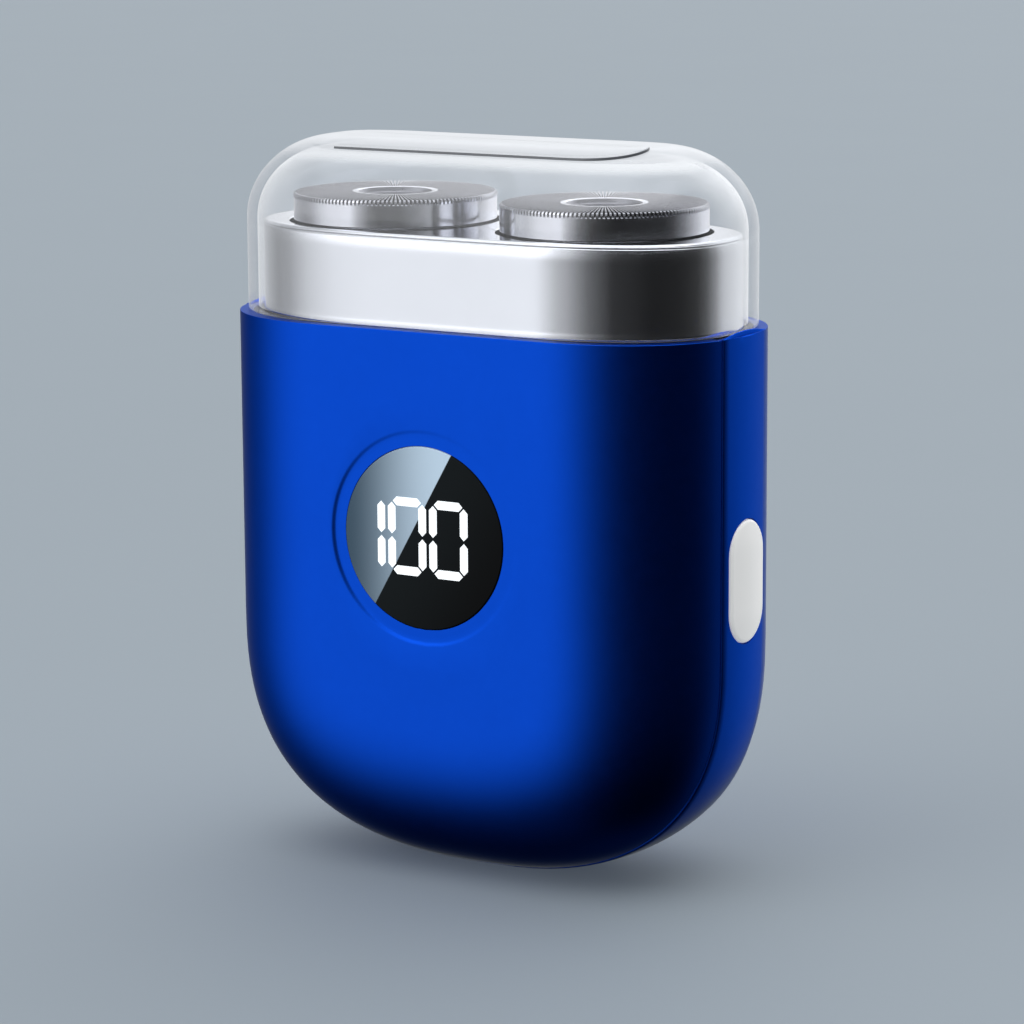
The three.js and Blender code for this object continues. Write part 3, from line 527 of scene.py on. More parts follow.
clear = clear_material("clear_plastic", CAP_GLOW, 0.6, top_veil=0.5)
# the inside glows brighter towards its outline: a painted highlight
inside_clear = clear_material("clear_inside", INSIDE_GLOW, 1.0, edge_power=2.4,
                              veil_colour=INSIDE_VEIL_COLOUR)
rim_clear = clear_material("clear_rim", CAP_GLOW, 0.12, tint=(0.97, 0.97, 0.975, 1))
# a painted highlight along the inner shoulder
highlight_clear = clear_material("clear_highlight", HIGHLIGHT_GLOW, 1.0, highlight_veil=0.85,
                             veil_colour=INSIDE_VEIL_COLOUR)
# a dark strip painted along the panel's edge: painted shade
painted_dark_line = clear_material("cap_painted_dark_line", DARK_LINE_GLOW, 0.85, edge_power=2.0, face_veil=0.5,
                        top_veil=0.2, veil_colour=(0.04, 0.042, 0.046, 1),
                        tint=(0.2, 0.21, 0.23, 1))


# ---------------------------------------------------------------- housing shells

SEAM_GAP = 0.06  # from the middle of a seam to the edge of a shell
SHELL_STEPS = 30
TOP_STEPS = 24


def ease(share):
    """A soft start and a soft end to a step from 0 to 1."""
    return share * share * (3 - 2 * share)


def shell_rows(side):
    """Rows of a shell's outer skin, from the seam to the edge of its flat middle."""
    seam = SEAM_Y + SEAM_GAP
    start = math.asin(((seam - HALF_DEPTH + ROUND_Y) / ROUND_Y) ** (ROUND_POWER / 2))
    rows = []
    for angle in np.linspace(start, math.pi / 2, SHELL_STEPS):
        inset = ROUND_X * (1 - max(0.0, math.cos(angle)) ** (2 / ROUND_POWER))
        depth = HALF_DEPTH - ROUND_Y + ROUND_Y * math.sin(angle) ** (2 / ROUND_POWER)
        rows.append(outline_row(inset, side * depth))
    return rows


def flat_rows(edge, side, profile):
    """Rows of a shell's flat middle, from its edge in to a round profile of (radius, depth)."""
    top = np.linspace(edge[-1], edge[0], TOP_STEPS + 2)[1:-1]
    loop = np.concatenate([edge, top])
    angle = np.arctan2(loop[:, 2] - LENS_Z, loop[:, 0] - LENS_X)
    scoop = 0.5 + 0.5 * np.cos(angle - math.radians(DISH_LOW_SIDE))

    def circle(radius, depth):
        y = side * (HALF_DEPTH - depth * scoop)
        return np.stack([LENS_X + radius * np.cos(angle), y, LENS_Z + radius * np.sin(angle)], 1)

    first = circle(*profile[0])
    rows = [loop + (first - loop) * share for share in (0, 0.05, 0.35, 0.7)]
    return rows + [circle(radius, depth) for radius, depth in profile]


def joined(*parts):
    """Vertices and faces of several skins in one mesh."""
    vertices, faces, start = [], [], 0
    for points, sides in parts:
        vertices.append(points)
        faces += [tuple(start + index for index in face) for face in sides]
        start += len(points)
    return np.concatenate(vertices), faces


def shell(name, side, profile, filled):
    """A shell of the housing; filled closes the round opening in its middle."""
    rows = shell_rows(side)
    middle = flat_rows(rows[-1], side, profile)
    middle_faces = skin(middle)
    if filled:
        count = len(middle[0])
        middle_faces.append(tuple(range((len(middle) - 1) * count, len(middle) * count)))
    around = (np.concatenate(rows), skin(rows, closed=False))
    skins = joined(around, (np.concatenate(middle), middle_faces))
    made = piece(name, *skins, "housing", blue, [name.replace("_skin", "")], "blue_body",
                 outward=(0, side, 0))
    thicken(made, WALL)
    bevel(made, 0.07, segments=2, angle=55)
    return made


dish_rim = DISH_RADIUS + 0.2
dish_profile = [
    (dish_rim - DISH_SLOPE * share, DISH_DEPTH * ease(share)) for share in (0, 0.25, 0.5, 0.75, 1)
]
dish_profile += [(DISH_FLOOR_RADIUS, DISH_DEPTH), (LENS_RADIUS + LENS_CLEARANCE, DISH_DEPTH)]
shell("front_shell_skin", -1, dish_profile, filled=False)
shell("back_shell_skin", 1, [(DISH_RADIUS, 0), (6, 0)], filled=True)

# ---------------------------------------------------------------- side band

BAND_GAP = 0.08  # from the middle of a seam to the band's edge
BAND_SUNK = 0.02
BAND_BOW = 0.42  # how much further in its sides are than its middle
BAND_EDGE = 0.22
BAND_STEPS = 13
LIP_OUTER = 0.45
LIP_INNER = 0.94
LIP_HEIGHT = 0.5
PILL_STEPS = 20


def band_section(half):
    """The band's cross-section: (inset, y) points from one edge over its bowed face and back."""
    side = BAND_SUNK + BAND_BOW
    section = []
    for y in np.linspace(-half + BAND_EDGE, half - BAND_EDGE, BAND_STEPS):
        section.append((BAND_SUNK + BAND_BOW * (y / half) ** 2, y))
    section += [(side + BAND_EDGE * 0.3, half - BAND_EDGE * 0.3), (side + BAND_EDGE, half)]
    section += [(WALL, half), (WALL, -half)]
    section += [(side + BAND_EDGE, -half), (side + BAND_EDGE * 0.3, -half + BAND_EDGE * 0.3)]
    return section


def side_band():
    """The band between the shells, swept round the outline, with a raised lip at each end."""
    half = SEAM_Y - BAND_GAP
    section = band_section(half)
    inset, y = np.array(section).T
    rings = []
    for point, normal in zip(OUTLINE, OUTLINE_NORMAL):
        z = (point[1] - inset * normal[1]).clip(0)
        rings.append(np.stack([point[0] - inset * normal[0], y, z], 1))

    def end_ring(sign, height, outer, lip):
        """The section at an end: its outer face drawn in, its inner face clear of the cap."""
        x = HALF_WIDTH - np.maximum(inset, outer).clip(None, LIP_INNER)
        z = BODY_TOP + height + lip * (1 - (y / half) ** 2)
        return np.stack([sign * x, y, z], 1)

    # height over the rim, least inset of the outer face, and rise of the middle over the sides
    ends = (
        (-0.02, 0.1, 0),
        (0, 0.2, 0),
        (0, LIP_OUTER, 0),
        (0, LIP_OUTER + 0.06, LIP_HEIGHT - 0.08),
        (0, LIP_OUTER + 0.13, LIP_HEIGHT),
    )
    before = [end_ring(1, *end) for end in reversed(ends)]
    after = [end_ring(-1, *end) for end in ends]
    # the first and last rings of the sweep make room for the rounded start of the lips
    rings[0][:, 2] -= 0.1
    rings[-1][:, 2] -= 0.1
    return loft(before + rings + after)


def pill_ring(half_width, half_height, x):
    """A stadium outline in the YZ plane, at one x."""
    straight = half_height - half_width
    middle_z = (button_low[2] + button_high[2]) / 2
    upper = np.radians(np.linspace(0, 180, PILL_STEPS + 1))
    lower = upper + math.pi
    y = np.concatenate([np.cos(upper), np.cos(lower)]) * half_width
    upper_z = np.sin(upper) * half_width + straight
    lower_z = np.sin(lower) * half_width - straight
    return np.stack([np.full(len(y), x), y, np.concatenate([upper_z, lower_z]) + middle_z], 1)


def cut_away(made, cutter):
    """Cuts a solid out of a piece and removes it; faces with more than four corners are split."""
    modifier = made.modifiers.new("opening", "BOOLEAN")
    modifier.operation = "DIFFERENCE"
    modifier.solver = "EXACT"
    modifier.object = cutter
    bpy.context.view_layer.update()
    graph = bpy.context.evaluated_depsgraph_get()
    mesh = bpy.data.meshes.new_from_object(made.evaluated_get(graph))
    made.modifiers.remove(modifier)
    made.data = mesh
    bpy.data.objects.remove(cutter)
    split = bmesh.new()
    split.from_mesh(mesh)
    bmesh.ops.triangulate(split, faces=[face for face in split.faces if len(face.verts) > 4])
    split.to_mesh(mesh)
    split.free()
    mesh.polygons.foreach_set("use_smooth", [True] * len(mesh.polygons))
    mesh.set_sharp_from_angle(angle=math.radians(32))


def cutting_solid(vertices, faces):
    """A plain object that cut_away takes out of a piece."""
    mesh = bpy.data.meshes.new("cutting_solid")
    mesh.from_pydata((np.asarray(vertices, float) * MM).tolist(), [], faces)
    recalculate(mesh)
    made = bpy.data.objects.new("cutting_solid", mesh)
    scene.collection.objects.link(made)
    return made


BUTTON_HALF_WIDTH = 3.8
BUTTON_HALF_HEIGHT = 7.05
BUTTON_CLEARANCE = 0.14
BUTTON_FLANGE = 0.8
BUTTON_PROUD = 0.4  # how far its face stands beyond the solid's
PORT_CLEARANCE = 0.2
PORT_SIDES = 48


def button_opening():
    """The solid that opens the band for the button."""
    half_width = BUTTON_HALF_WIDTH + BUTTON_CLEARANCE
    half_height = BUTTON_HALF_HEIGHT + BUTTON_CLEARANCE
    ends = (HALF_WIDTH - 3, HALF_WIDTH + 3)
    return cutting_solid(*loft([pill_ring(half_width, half_height, x) for x in ends]))


def port_opening():
    """The solid that opens the band's base for the charging socket."""
    half_x = (port_high[0] - port_low[0]) / 2 + PORT_CLEARANCE
    half_y = (port_high[1] - port_low[1]) / 2 + PORT_CLEARANCE
    angle = np.radians(np.linspace(0, 360, PORT_SIDES, endpoint=False))
    x = np.sign(np.cos(angle)) * (half_x - half_y) + half_y * np.cos(angle)
    y = half_y * np.sin(angle)
    rings = [np.stack([x, y, np.full(PORT_SIDES, z)], 1) for z in (-2.0, 4.0)]
    return cutting_solid(*loft(rings))


def power_button():
    """A softly domed pill with a rounded rim, and a flange behind it."""
    face = button_high[0] + BUTTON_PROUD
    flange = button_low[0]
    profile = [(-BUTTON_FLANGE, flange), (-BUTTON_FLANGE, flange + 0.7)]
    profile += [(0, flange + 0.75), (0, face - 0.75)]
    profile += arc((0.5, face - 0.72), (0.5, 0.42), 180, 95, 6)
    profile += [(1.2, face - 0.2), (1.9, face - 0.1), (2.7, face - 0.03), (3.4, face)]
    rings = []
    for inset, x in profile:
        rings.append(pill_ring(BUTTON_HALF_WIDTH - inset, BUTTON_HALF_HEIGHT - inset, x))
    return loft(rings)


band = piece("side_band_skin", *side_band(), "housing", blue, ["side_band"], "blue_body")
cut_away(band, button_opening())
cut_away(band, port_opening())
piece("power_button_skin", *power_button(), "button", ivory, ["power_button"], "ivory_button")

# ---------------------------------------------------------------- display

LENS_EDGE = 0.16
STROKE_WIDTH = 1.02
STROKE_GAP = 0.16
STROKE_PROUD = 0.03
STROKE_DEEP = 0.05


def lens():
    """The round window, with a rounded front edge."""
    edge_y = LENS_FRONT + LENS_EDGE
    profile = [(LENS_RADIUS, lens_high[1]), (LENS_RADIUS, edge_y)]
    profile += arc((LENS_RADIUS - LENS_EDGE, edge_y), LENS_EDGE, 0, -90, 5)[1:]
    rings = turned(profile, sides=128)
    return loft([ring[:, [0, 2, 1]] + np.array([LENS_X, 0, LENS_Z]) for ring in rings])


def stroke(x0, z0, x1, z1):
    """A display stroke: a bar with pointed ends between two points."""
    start, end = Vector((x0, z0)), Vector((x1, z1))
    along = (end - start).normalized()
    across = Vector((-along.y, along.x)) * STROKE_WIDTH / 2
    tip = along * STROKE_WIDTH * 0.5
    outline = [start, start + tip + across, end - tip + across]
    outline += [end, end - tip - across, start + tip - across]
    back, front = LENS_FRONT + STROKE_DEEP, LENS_FRONT - STROKE_PROUD
    rings = [np.array([(LENS_X + p.x, y, LENS_Z + p.y) for p in outline]) for y in (back, front)]
    return loft(rings)


def digits():
    """The number on the display, in seven-segment strokes that stop short of each corner."""
    top, bottom = 4.55 - STROKE_WIDTH / 2, -4.4 + STROKE_WIDTH / 2
    middle = (top + bottom) / 2

    def upright(x):
        return [
            stroke(x, middle + STROKE_GAP, x, top - STROKE_GAP),
            stroke(x, middle - STROKE_GAP, x, bottom + STROKE_GAP),
        ]

    def zero(left, right):
        left, right = left + STROKE_WIDTH / 2, right - STROKE_WIDTH / 2
        bars = [stroke(left + STROKE_GAP, z, right - STROKE_GAP, z) for z in (top, bottom)]
        return upright(left) + upright(right) + bars

    return joined(*upright(-5.6), *zero(-4.7, 0.4), *zero(0.8, 5.9))


piece("display_lens_glass", *lens(), "housing", lens_material(), ["display_lens"], "black_glass")
piece("display_digits", *digits(), "housing", digit_material())

# ---------------------------------------------------------------- head cover

COVER_WIDER = 0.16  # how much wider it is than the solid, all round
COVER_INSET = HALF_DEPTH - cover_high[1] - COVER_WIDER
COVER_WALL = 0.9
COVER_SKIRT = 0.95  # how far its wall reaches down behind the body's rim
COVER_FOOT = 0.14  # how far the foot of that wall flares out
COVER_PLATE = 1.1
COVER_EDGE = 0.55
CUTTER_X = 14.0
COVER_HOLE = 12.35
HOLE_SIDES = 128


def head_cover():
    """The plate's underside, the wall's inside, its foot, its outside and the rounded top edge."""
    low, high = cover_low[2] - COVER_SKIRT, cover_high[2]
    inner = COVER_INSET + COVER_WALL
    foot = COVER_INSET - COVER_FOOT
    seam = high - COVER_EDGE
    groove = COVER_INSET + 0.13
    edge = COVER_EDGE - 0.1
    profile = [(inner + 1.0, high - COVER_PLATE), (inner, high - COVER_PLATE - 0.2), (inner, low)]
    profile += [(inner - 0.1, low), (foot, low), (foot, low + 0.3)]
    profile += [(COVER_INSET - COVER_FOOT * 0.5, low + 0.7), (COVER_INSET, low + 1.1)]
    profile += [(COVER_INSET, z) for z in np.linspace(low + 1.4, seam - 0.12, 5)]
    profile += [(COVER_INSET + 0.03, seam - 0.06), (groove, seam - 0.03), (groove, seam + 0.03)]
    profile += arc((COVER_INSET + 0.05 + edge, high - edge), edge, 180, 90, 7)
    profile += [(COVER_INSET + COVER_EDGE + 0.3, high)]
    return loft([plan_ring(inset, z, HEAD_PLAN, HEAD_NORMAL) for inset, z in profile])


def cutter_opening(hole_x):
    """The solid that opens the head's top for a cutter."""
    profile = [(COVER_HOLE, cover_high[2] - 3), (COVER_HOLE, cover_high[2] + 3)]
    return cutting_solid(*loft(turned(profile, (hole_x, 0), HOLE_SIDES)))


cover = piece("head_cover_skin", *head_cover(), "head", chrome, ["head_cover"], "chrome_head")
for hole_x in (-CUTTER_X, CUTTER_X):
    cut_away(cover, cutter_opening(hole_x))
bevel(cover, 0.12, segments=3, angle=50)

# ---------------------------------------------------------------- outer cutters

SLOTS = 150
TOOTH_SHARE = 0.5
FLANK_SHARE = 0.03
SLOT_COLUMNS = 4  # faces round one slot: tooth, flank, slot floor, flank
FLOOR_COLUMN = 2
CUTTER_RIM = 11.85
CUTTER_FOOT = 11.35
CUTTER_STEP_Z = 74.5  # below this the cup is narrower, inside the head
BRIGHT_ROWS = 3  # rows of the rim that stay polished; further in the face is brushed
CUP_ROWS = (4, 7)  # the dull rows of the cup in the middle, counted from the last slotted row


def slotted_rings(profile, slots, axis_x):
    """Rings of (radius, z, slot radius, slot z) points: each ring alternates tooth and slot."""
    pitch = 2 * math.pi / slots
    shares = np.array([0.0, TOOTH_SHARE, TOOTH_SHARE + FLANK_SHARE, 1 - FLANK_SHARE])
    angle = (np.arange(slots)[:, None] * pitch + shares * pitch).ravel()
    tooth = np.tile([True, True, False, False], slots)
    rings = []
    for radius, z, slot_radius, slot_z in profile:
        r = np.where(tooth, radius, slot_radius)
        height = np.where(tooth, z, slot_z)
        rings.append(np.stack([axis_x + r * np.cos(angle), r * np.sin(angle), height], 1))
    return rings


def outer_cutter(axis_x, top, skirt_z):
    """A cup with radial slots: outside from its skirt up, over the rim, and in to the middle."""
    def plain(*points):
        return [(radius, z, radius, z) for radius, z in points]

    rim, foot, step = CUTTER_RIM, CUTTER_FOOT, CUTTER_STEP_Z
    profile = plain((4.7, top - 1.1), (5.0, top - 0.5), (10.7, top - 0.5), (10.7, skirt_z))
    profile += plain((11.2, skirt_z), (foot, skirt_z + 0.15), (foot, step))
    profile += plain((rim - 0.1, step), (rim, step + 0.1), (rim, step + 0.4), (rim, top - 0.62))
    first_slot = len(profile)
    profile += [
        (rim, top - 0.58, rim - 0.3, top - 0.55),
        (rim + 0.04, top - 0.3, rim - 0.45, top - 0.45),
        (rim - 0.06, top - 0.1, rim - 0.5, top - 0.5),
        (rim - 0.25, top, rim - 0.7, top - 0.5),
        (8.5, top, 8.5, top - 0.5),
        (5.0, top, 5.0, top - 0.5),
    ]
    slots = range(first_slot, len(profile) - 1)
    profile += plain((4.95, top), (4.45, top), (4.3, top - 0.06), (4.15, top - 0.5))
    profile += plain((4.0, top - 0.6), (3.0, top - 0.58), (1.5, top - 0.55))
    return loft(slotted_rings(profile, SLOTS, axis_x)), slots


def darken_slots(made, rows):
    """Brushed metal on the slotted face and in the cup, and painted shade on the slot floors: a dark
    metal for the shade down in the slots.
    """
    made.data.materials.append(slot_shade)
    made.data.materials.append(face_steel)
    slot_index, face_index = 1, 2
    columns = SLOTS * SLOT_COLUMNS
    faces = made.data.polygons
    for row in rows:
        for column in range(columns):
            if column % SLOT_COLUMNS == FLOOR_COLUMN:
                faces[row * columns + column].material_index = slot_index
            elif row >= rows[0] + BRIGHT_ROWS:
                faces[row * columns + column].material_index = face_index
    for row in range(rows[-1] + CUP_ROWS[0], rows[-1] + CUP_ROWS[1]):
        for column in range(columns):
            faces[row * columns + column].material_index = face_index


for side_name, sign in (("left", -1), ("right", 1)):
    cutter_low, cutter_high = corners(f"outer_cutter_{side_name}")
    shape, slot_rows = outer_cutter(sign * CUTTER_X, cutter_high[2], cutter_low[2])
    outer = piece(f"outer_cutter_{side_name}_skin", *shape, f"cutter_{side_name}", cutter_steel,
                  [f"outer_cutter_{side_name}"], "cutter_steel")
    darken_slots(outer, slot_rows)

# ---------------------------------------------------------------- travel cap

CAP_INSET = HALF_WIDTH - cap_high[0]
CAP_WALL = 1.2
CAP_LOWER = 0.52  # how much further down it reaches than the solid
CAP_SHOULDER_WIDTH = 10.6
CAP_SHOULDER_HEIGHT = 9.6
CAP_TOP_DROP = 0.15
CAP_SHOULDER_Z = cap_high[2] - CAP_TOP_DROP - CAP_SHOULDER_HEIGHT
CAP_SHOULDER_STEPS = 24
CAP_PANEL_FRONT = 5.8  # how far in the raised panel starts at the front, from the cap's side
CAP_PANEL_END = 10.6
CAP_PANEL_RISE = 0.36
CAP_DEEPEST = 12.8
CAP_GROOVE_Z = cover_high[2] - 0.15
CAP_GROOVE_DEPTH = 0.07
CAP_INSIDE_Z = (73, 71, 69, 66)  # heights of the rings of its straight walls
CAP_OUTSIDE_Z = (66, 69, 72)

# the panel's step and its dark line, painted shade, run round one side of the cap and fade out
PANEL_LEAN = PLAN_NORMAL @ np.array([0.5, -0.866])
PANEL_FADE_START = 0.6
PANEL_FADE = 0.3
DARK_LINE_START = 0.8

DARK_LINE, INSIDE, HIGHLIGHT, RIM = range(1, 5)  # places in the cap's materials, after the clear one
HIGHLIGHT_ROWS = range(4, 12)  # a painted highlight along the inner shoulder,
HIGHLIGHT_NORMAL_Y = 0.1  # except where the wall faces the back more than this


def cap_surface(inset):
    """Height of the cap's outer surface at a distance in from its side."""
    share = (1 - (inset - CAP_INSET) / CAP_SHOULDER_WIDTH).clip(0, 1)
    return CAP_SHOULDER_Z + CAP_SHOULDER_HEIGHT * np.sqrt(1 - share**2)


def cap_section():
    """(inset, z) points of the cap's wall: up its inside, round its open rim, up its outside."""
    low = cap_low[2] - CAP_LOWER
    inner = CAP_INSET + CAP_WALL
    inner_width, inner_height = CAP_SHOULDER_WIDTH - CAP_WALL, CAP_SHOULDER_HEIGHT - CAP_WALL
    inside = arc((inner + inner_width, CAP_SHOULDER_Z), (inner_width, inner_height), 90, 180,
                 CAP_SHOULDER_STEPS)
    inside += [(inner, z) for z in CAP_INSIDE_Z]
    rim = arc((inner - 0.3, low + 0.3), 0.3, 0, -90, 4)
    rim += arc((CAP_INSET + 0.2, low + 0.2), 0.2, 270, 180, 4)
    groove = CAP_INSET + CAP_GROOVE_DEPTH
    outside = [(CAP_INSET, z) for z in (*CAP_OUTSIDE_Z, CAP_GROOVE_Z - 0.12)]
    outside += [(groove, CAP_GROOVE_Z - 0.05), (groove, CAP_GROOVE_Z + 0.05)]
    outside += [(CAP_INSET, CAP_GROOVE_Z + 0.12)]
    return inside, rim, outside


def cap_top():
    """Rings of the cap's shoulder and of its raised top panel, and the panel's first ring."""
    endwise = PLAN_NORMAL[:, 0] ** 2
    panel_start = CAP_PANEL_FRONT + (CAP_PANEL_END - CAP_PANEL_FRONT) * endwise
    rise = CAP_PANEL_RISE * ease(((PANEL_LEAN - PANEL_FADE_START) / PANEL_FADE).clip(0, 1))

    def draped(inset, rise):
        flat = PLAN - inset[:, None] * PLAN_NORMAL
        return np.column_stack([flat, cap_surface(inset) + rise])

    rings = []
    for turn in np.radians(np.linspace(0, 90, CAP_SHOULDER_STEPS + 1)):
        rings.append(draped(CAP_INSET + panel_start * (1 - math.cos(turn)), 0))
    panel_row = len(rings)
    edge = CAP_INSET + panel_start + 0.05
    rest = CAP_DEEPEST - panel_start
    rings.append(draped(edge, rise * 0.75))
    for share in (0.015, 0.1, 0.25, 0.4, 0.6, 0.8, 1):
        rings.append(draped(edge + rest * share, rise * (1 - share)))
    return rings, panel_row


def paint_rows(made, rows, index):
    """Gives whole rows of the cap's faces one material."""
    for polygon in range(rows.start * len(PLAN), rows.stop * len(PLAN)):
        made.data.polygons[polygon].material_index = index


def travel_cap():
    """The cap, with its inside, inner shoulder, rim and panel line in materials of their own. The
    inside and the inner shoulder carry painted highlights, the panel line painted shade.
    """
    inside, rim, outside = cap_section()
    top, panel_row = cap_top()
    wall = [plan_ring(inset, z) for inset, z in inside + rim + outside]
    materials = [clear, painted_dark_line, inside_clear, highlight_clear, rim_clear]
    made = piece("travel_cap_skin", *loft(wall + top), "cap", materials, ["travel_cap"],
                 "clear_cap", sharp=50)
    paint_rows(made, range(len(inside)), INSIDE)
    paint_rows(made, range(len(inside), len(inside) + len(rim) - 1), RIM)
    faces = made.data.polygons
    for column in range(len(PLAN)):
        if PLAN_NORMAL[column, 1] < HIGHLIGHT_NORMAL_Y:
            for row in HIGHLIGHT_ROWS:
                faces[row * len(PLAN) + column].material_index = HIGHLIGHT
        # painted shade along the panel's edge, on the front side only
        if PANEL_LEAN[column] > DARK_LINE_START:
            painted_dark_line_row = len(wall) + panel_row - 1
            faces[painted_dark_line_row * len(PLAN) + column].material_index = DARK_LINE


travel_cap()

# ---------------------------------------------------------------- materials of the CAD nodes

NODE_FINISH = {
    "display_module": black_plastic,
    "charge_socket": ground_steel,
    "tact_switch": dark_iron,
    "battery_cell": cell_wrap,
    "motor_can": ground_steel,
    "motor_end_cap": white_plastic,
    "motor_rotor": dark_iron,
    "drive_pinion": brass,
    "gearbox": grey_plastic,
    "drive_deck": black_plastic,
    "head_seal": rubber,
    "chassis": black_plastic,
    "cutter_frame": black_plastic,
    "charge_lead": black_wire,
    "battery_lead_black": black_wire,
    "motor_lead_black": black_wire,
    "battery_lead_red": red_wire,
    "motor_lead_red": red_wire,
}
# by the start of a node's name; a node in neither list is ground steel
FAMILY_FINISH = (
    ("motor_magnet", dark_iron),
    ("motor_terminal", brass),
    ("drive_gear", white_plastic),
    ("inner_blade", ground_steel),
)
# these show when the head is off, so their edges are rounded
ROUNDED_NODES = ("drive_spindle_left", "drive_spindle_right", "drive_deck", "cutter_frame")


def board_material():
    """Green solder mask over copper tracks, with a faint weave."""
    material, tree = new_material("circuit_board")
    tracks = node(tree, "ShaderNodeTexBrick", {
        "Vector": place(tree),
        "Scale": 0.35,
        "Mortar Size": 0.06,
        "Color1": (0.006, 0.085, 0.032, 1),
        "Color2": (0.008, 0.11, 0.04, 1),
        "Mortar": (0.03, 0.2, 0.06, 1),
    })
    weave = bump(tree, noise(tree, 0.4), 0.01)
    principled(tree, Base_Color=tracks.outputs["Color"], Roughness=0.42, Normal=weave)
    return material


def flex_material():
    """Amber film with fine copper lines along it."""
    material, tree = new_material("flex_cable")
    inputs = {"Vector": place(tree), "Scale": 0.5, "Distortion": 0.2}
    lines = node(tree, "ShaderNodeTexWave", inputs, bands_direction="Z")
    colour = mix_colour(tree, lines.outputs["Fac"], (0.42, 0.16, 0.02, 1), (0.6, 0.32, 0.08, 1))
    principled(tree, Base_Color=colour, Roughness=0.35)
    return material


circuit_board = board_material()
flex_cable = flex_material()
for board_name in ("main_board", "charge_board", "switch_board"):
    NODE_FINISH[board_name] = circuit_board
NODE_FINISH["switch_cable"] = flex_cable

for name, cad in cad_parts.items():
    if cad.hide_render:
        continue
    family = [made for start, made in FAMILY_FINISH if name.startswith(start)]
    material = NODE_FINISH.get(name) or (family[0] if family else ground_steel)
    cad.data.materials.clear()
    cad.data.materials.append(material)
    if name in ROUNDED_NODES:
        bevel(cad, 0.08, segments=2, angle=35).use_clamp_overlap = True

# ---------------------------------------------------------------- camera

VIEW_AZIMUTH = 31.16  # degrees, from the display side towards the button side
VIEW_DISTANCE = 426.4  # along the ground
VIEW_HEIGHT = 121.9
VIEW_PITCH = 10.76
VIEW_ROLL = -0.33
VIEW_ASIDE = 1.375
SENSOR = 36.0
LENS_LENGTH = 131.2


def make_camera():
    """A long lens that looks down a little on the display side and the button side."""
    azimuth, pitch, roll = (math.radians(each) for each in (VIEW_AZIMUTH, VIEW_PITCH, VIEW_ROLL))
    right = Vector((math.cos(azimuth), math.sin(azimuth), 0))
    forward = Vector((-math.sin(azimuth), math.cos(azimuth), 0))
    eye = -forward * VIEW_DISTANCE + right * VIEW_ASIDE + Vector((0, 0, VIEW_HEIGHT))
    forward = forward * math.cos(pitch) - Vector((0, 0, math.sin(pitch)))
    level, upright = right, right.cross(forward)
    right = level * math.cos(roll) + upright * math.sin(roll)
    up = -level * math.sin(roll) + upright * math.cos(roll)
    data = bpy.data.cameras.new("camera")
    data.sensor_width = SENSOR
    data.lens = LENS_LENGTH
    data.clip_start, data.clip_end = 0.01, 20  # metres
    made = bpy.data.objects.new("camera", data)
    scene.collection.objects.link(made)
    turn = Matrix((right, up, -forward)).transposed()
    made.matrix_world = Matrix.Translation(eye * MM) @ turn.to_4x4()
    scene.camera = made


make_camera()

# ---------------------------------------------------------------- studio

# how bright the studio is round about: degrees from the display side towards the button side
AROUND = (
    (-180, 1.1), (-150, 0.88), (-125, 0.4), (-92, 0.17), (-77, 0.3), (-61, 0.74),
    (-48, 1.0), (-20, 1.11), (-12, 0.55), (2, 0.15), (15, 0.03), (42, 0.009),
    (96, 0.012), (111, 0.05), (128, 0.2), (151, 0.7), (166, 1.04), (180, 1.1),
)
AROUND_TINT = (0.97, 0.99, 1.02)
OVERHEAD = (2.6, 2.64, 2.7, 1)


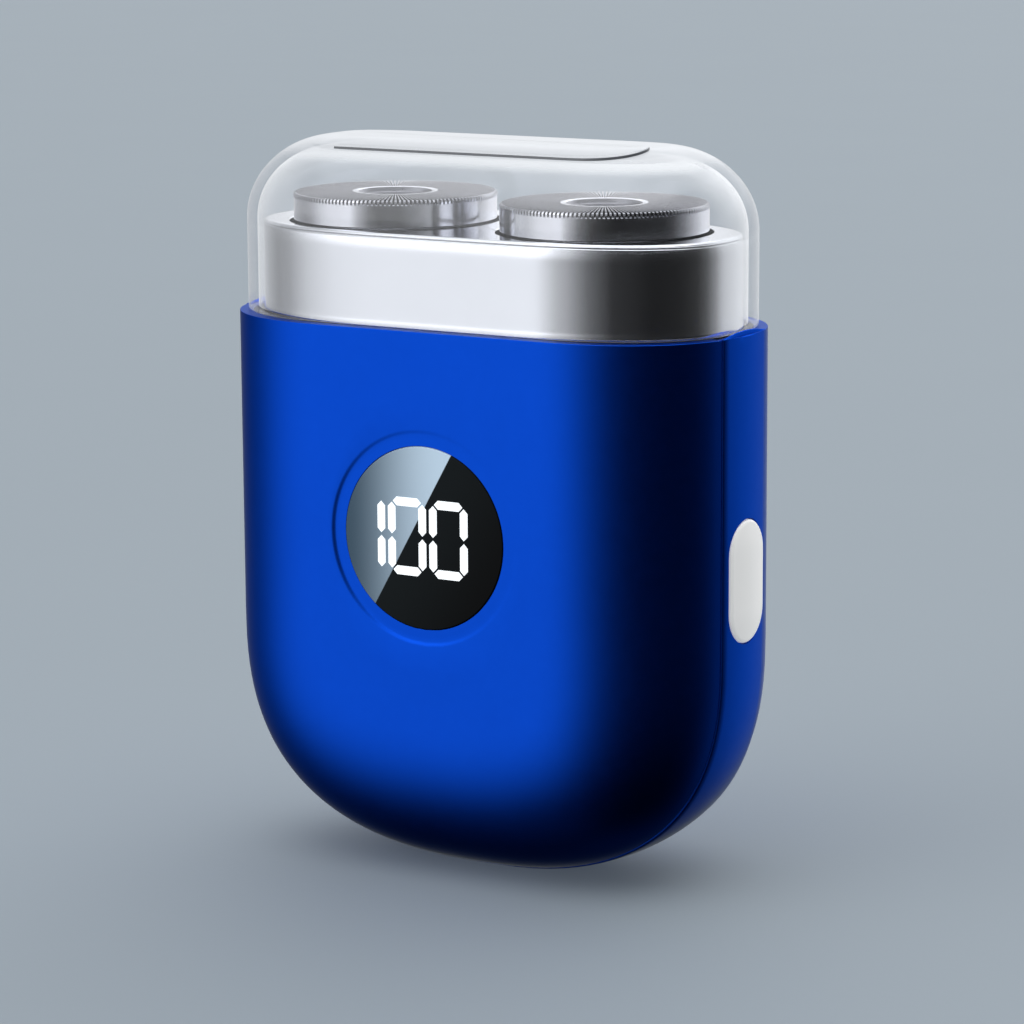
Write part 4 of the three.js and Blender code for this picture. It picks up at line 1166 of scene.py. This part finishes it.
def studio_light():
    """Soft light from all round: one broad bright side, one dark side, and light from above."""
    world = bpy.data.worlds.new("studio")
    scene.world = world
    world.use_nodes = True
    tree = world.node_tree
    tree.nodes.clear()
    direction = node(tree, "ShaderNodeTexCoord").outputs["Generated"]
    parts = node(tree, "ShaderNodeSeparateXYZ", {"Vector": direction})
    toward_front = math_node(tree, "MULTIPLY", parts.outputs[1], -1.0)
    azimuth = math_node(tree, "ARCTAN2", parts.outputs[0], toward_front)
    turn = math_node(tree, "ADD", math_node(tree, "DIVIDE", azimuth, 2 * math.pi), 0.5)
    around = node(tree, "ShaderNodeValToRGB", {"Fac": turn})
    ramp = around.color_ramp.elements
    while len(ramp) < len(AROUND):
        ramp.new(0.5)
    # a stop can change places with its neighbours while it moves, so the colours come last
    for element, (degrees, level) in zip(ramp, AROUND):
        element.position = degrees / 360 + 0.5
    for element, (degrees, level) in zip(ramp, AROUND):
        element.color = (*[level * each for each in AROUND_TINT], 1)
    # degrees above the horizon: dark far below it, brighter just above it, brightest overhead
    slope = math_node(tree, "ARCSINE", parts.outputs[2])
    height = math_node(tree, "MULTIPLY", slope, 180 / math.pi)
    low = smooth_step(tree, height, -53, -12, 0.035, 1.0)
    lifted = math_node(tree, "MULTIPLY", low, smooth_step(tree, height, 2, 15, 1.0, 1.75))
    inputs = {0: around.outputs[0], "Scale": lifted}
    sides = node(tree, "ShaderNodeVectorMath", inputs, operation="SCALE")
    colour = mix_colour(tree, smooth_step(tree, height, 42, 68), sides.outputs[0], OVERHEAD)
    shader = node(tree, "ShaderNodeBackground", {"Color": colour, "Strength": 1.0})
    output = node(tree, "ShaderNodeOutputWorld")
    tree.links.new(shader.outputs[0], output.inputs["Surface"])


def room_material(name, glow):
    """Matt grey-blue studio paint with a soft glow of its own."""
    material, tree = new_material(name)
    drift = noise(tree, 60.0)
    paint = mix_colour(tree, drift, (0.196, 0.222, 0.242, 1), (0.201, 0.228, 0.248, 1))
    relief = bump(tree, noise(tree, 1.2, detail=5.0), 0.01)
    principled(tree, Base_Color=paint, Roughness=0.75, Specular_IOR_Level=0.15, Normal=relief,
               Emission_Color=glow, Emission_Strength=1.0)
    return material


def stage_piece(name, vertices, faces, material):
    """A piece of the studio, which is not a part of the object."""
    mesh = bpy.data.meshes.new(name)
    mesh.from_pydata((vertices * MM).tolist(), [], faces)
    mesh.materials.append(material)
    made = bpy.data.objects.new(name, mesh)
    scene.collection.objects.link(made)
    return made


FLOOR_RADIUS = 2600
WALL_HEIGHT = 2500


def studio_room():
    """A pale floor, and far behind it a wall all round that only sight meets."""
    circle, upper = turned([(FLOOR_RADIUS, 0), (FLOOR_RADIUS, WALL_HEIGHT)])
    floor_material = room_material("pale_floor", (0.058, 0.07, 0.083, 1))
    floor = stage_piece("floor", circle, [tuple(range(len(circle)))], floor_material)
    floor.visible_glossy = False
    wall_material = room_material("pale_wall", (0.14, 0.16, 0.18, 1))
    points = np.concatenate([circle, upper])
    wall = stage_piece("backdrop", points, skin([circle, upper]), wall_material)
    wall.data.polygons.foreach_set("use_smooth", [True] * len(wall.data.polygons))
    wall.visible_diffuse = False
    wall.visible_glossy = False
    wall.visible_shadow = False
    wall.visible_volume_scatter = False


studio_light()
studio_room()
scene.view_settings.view_transform = "Standard"
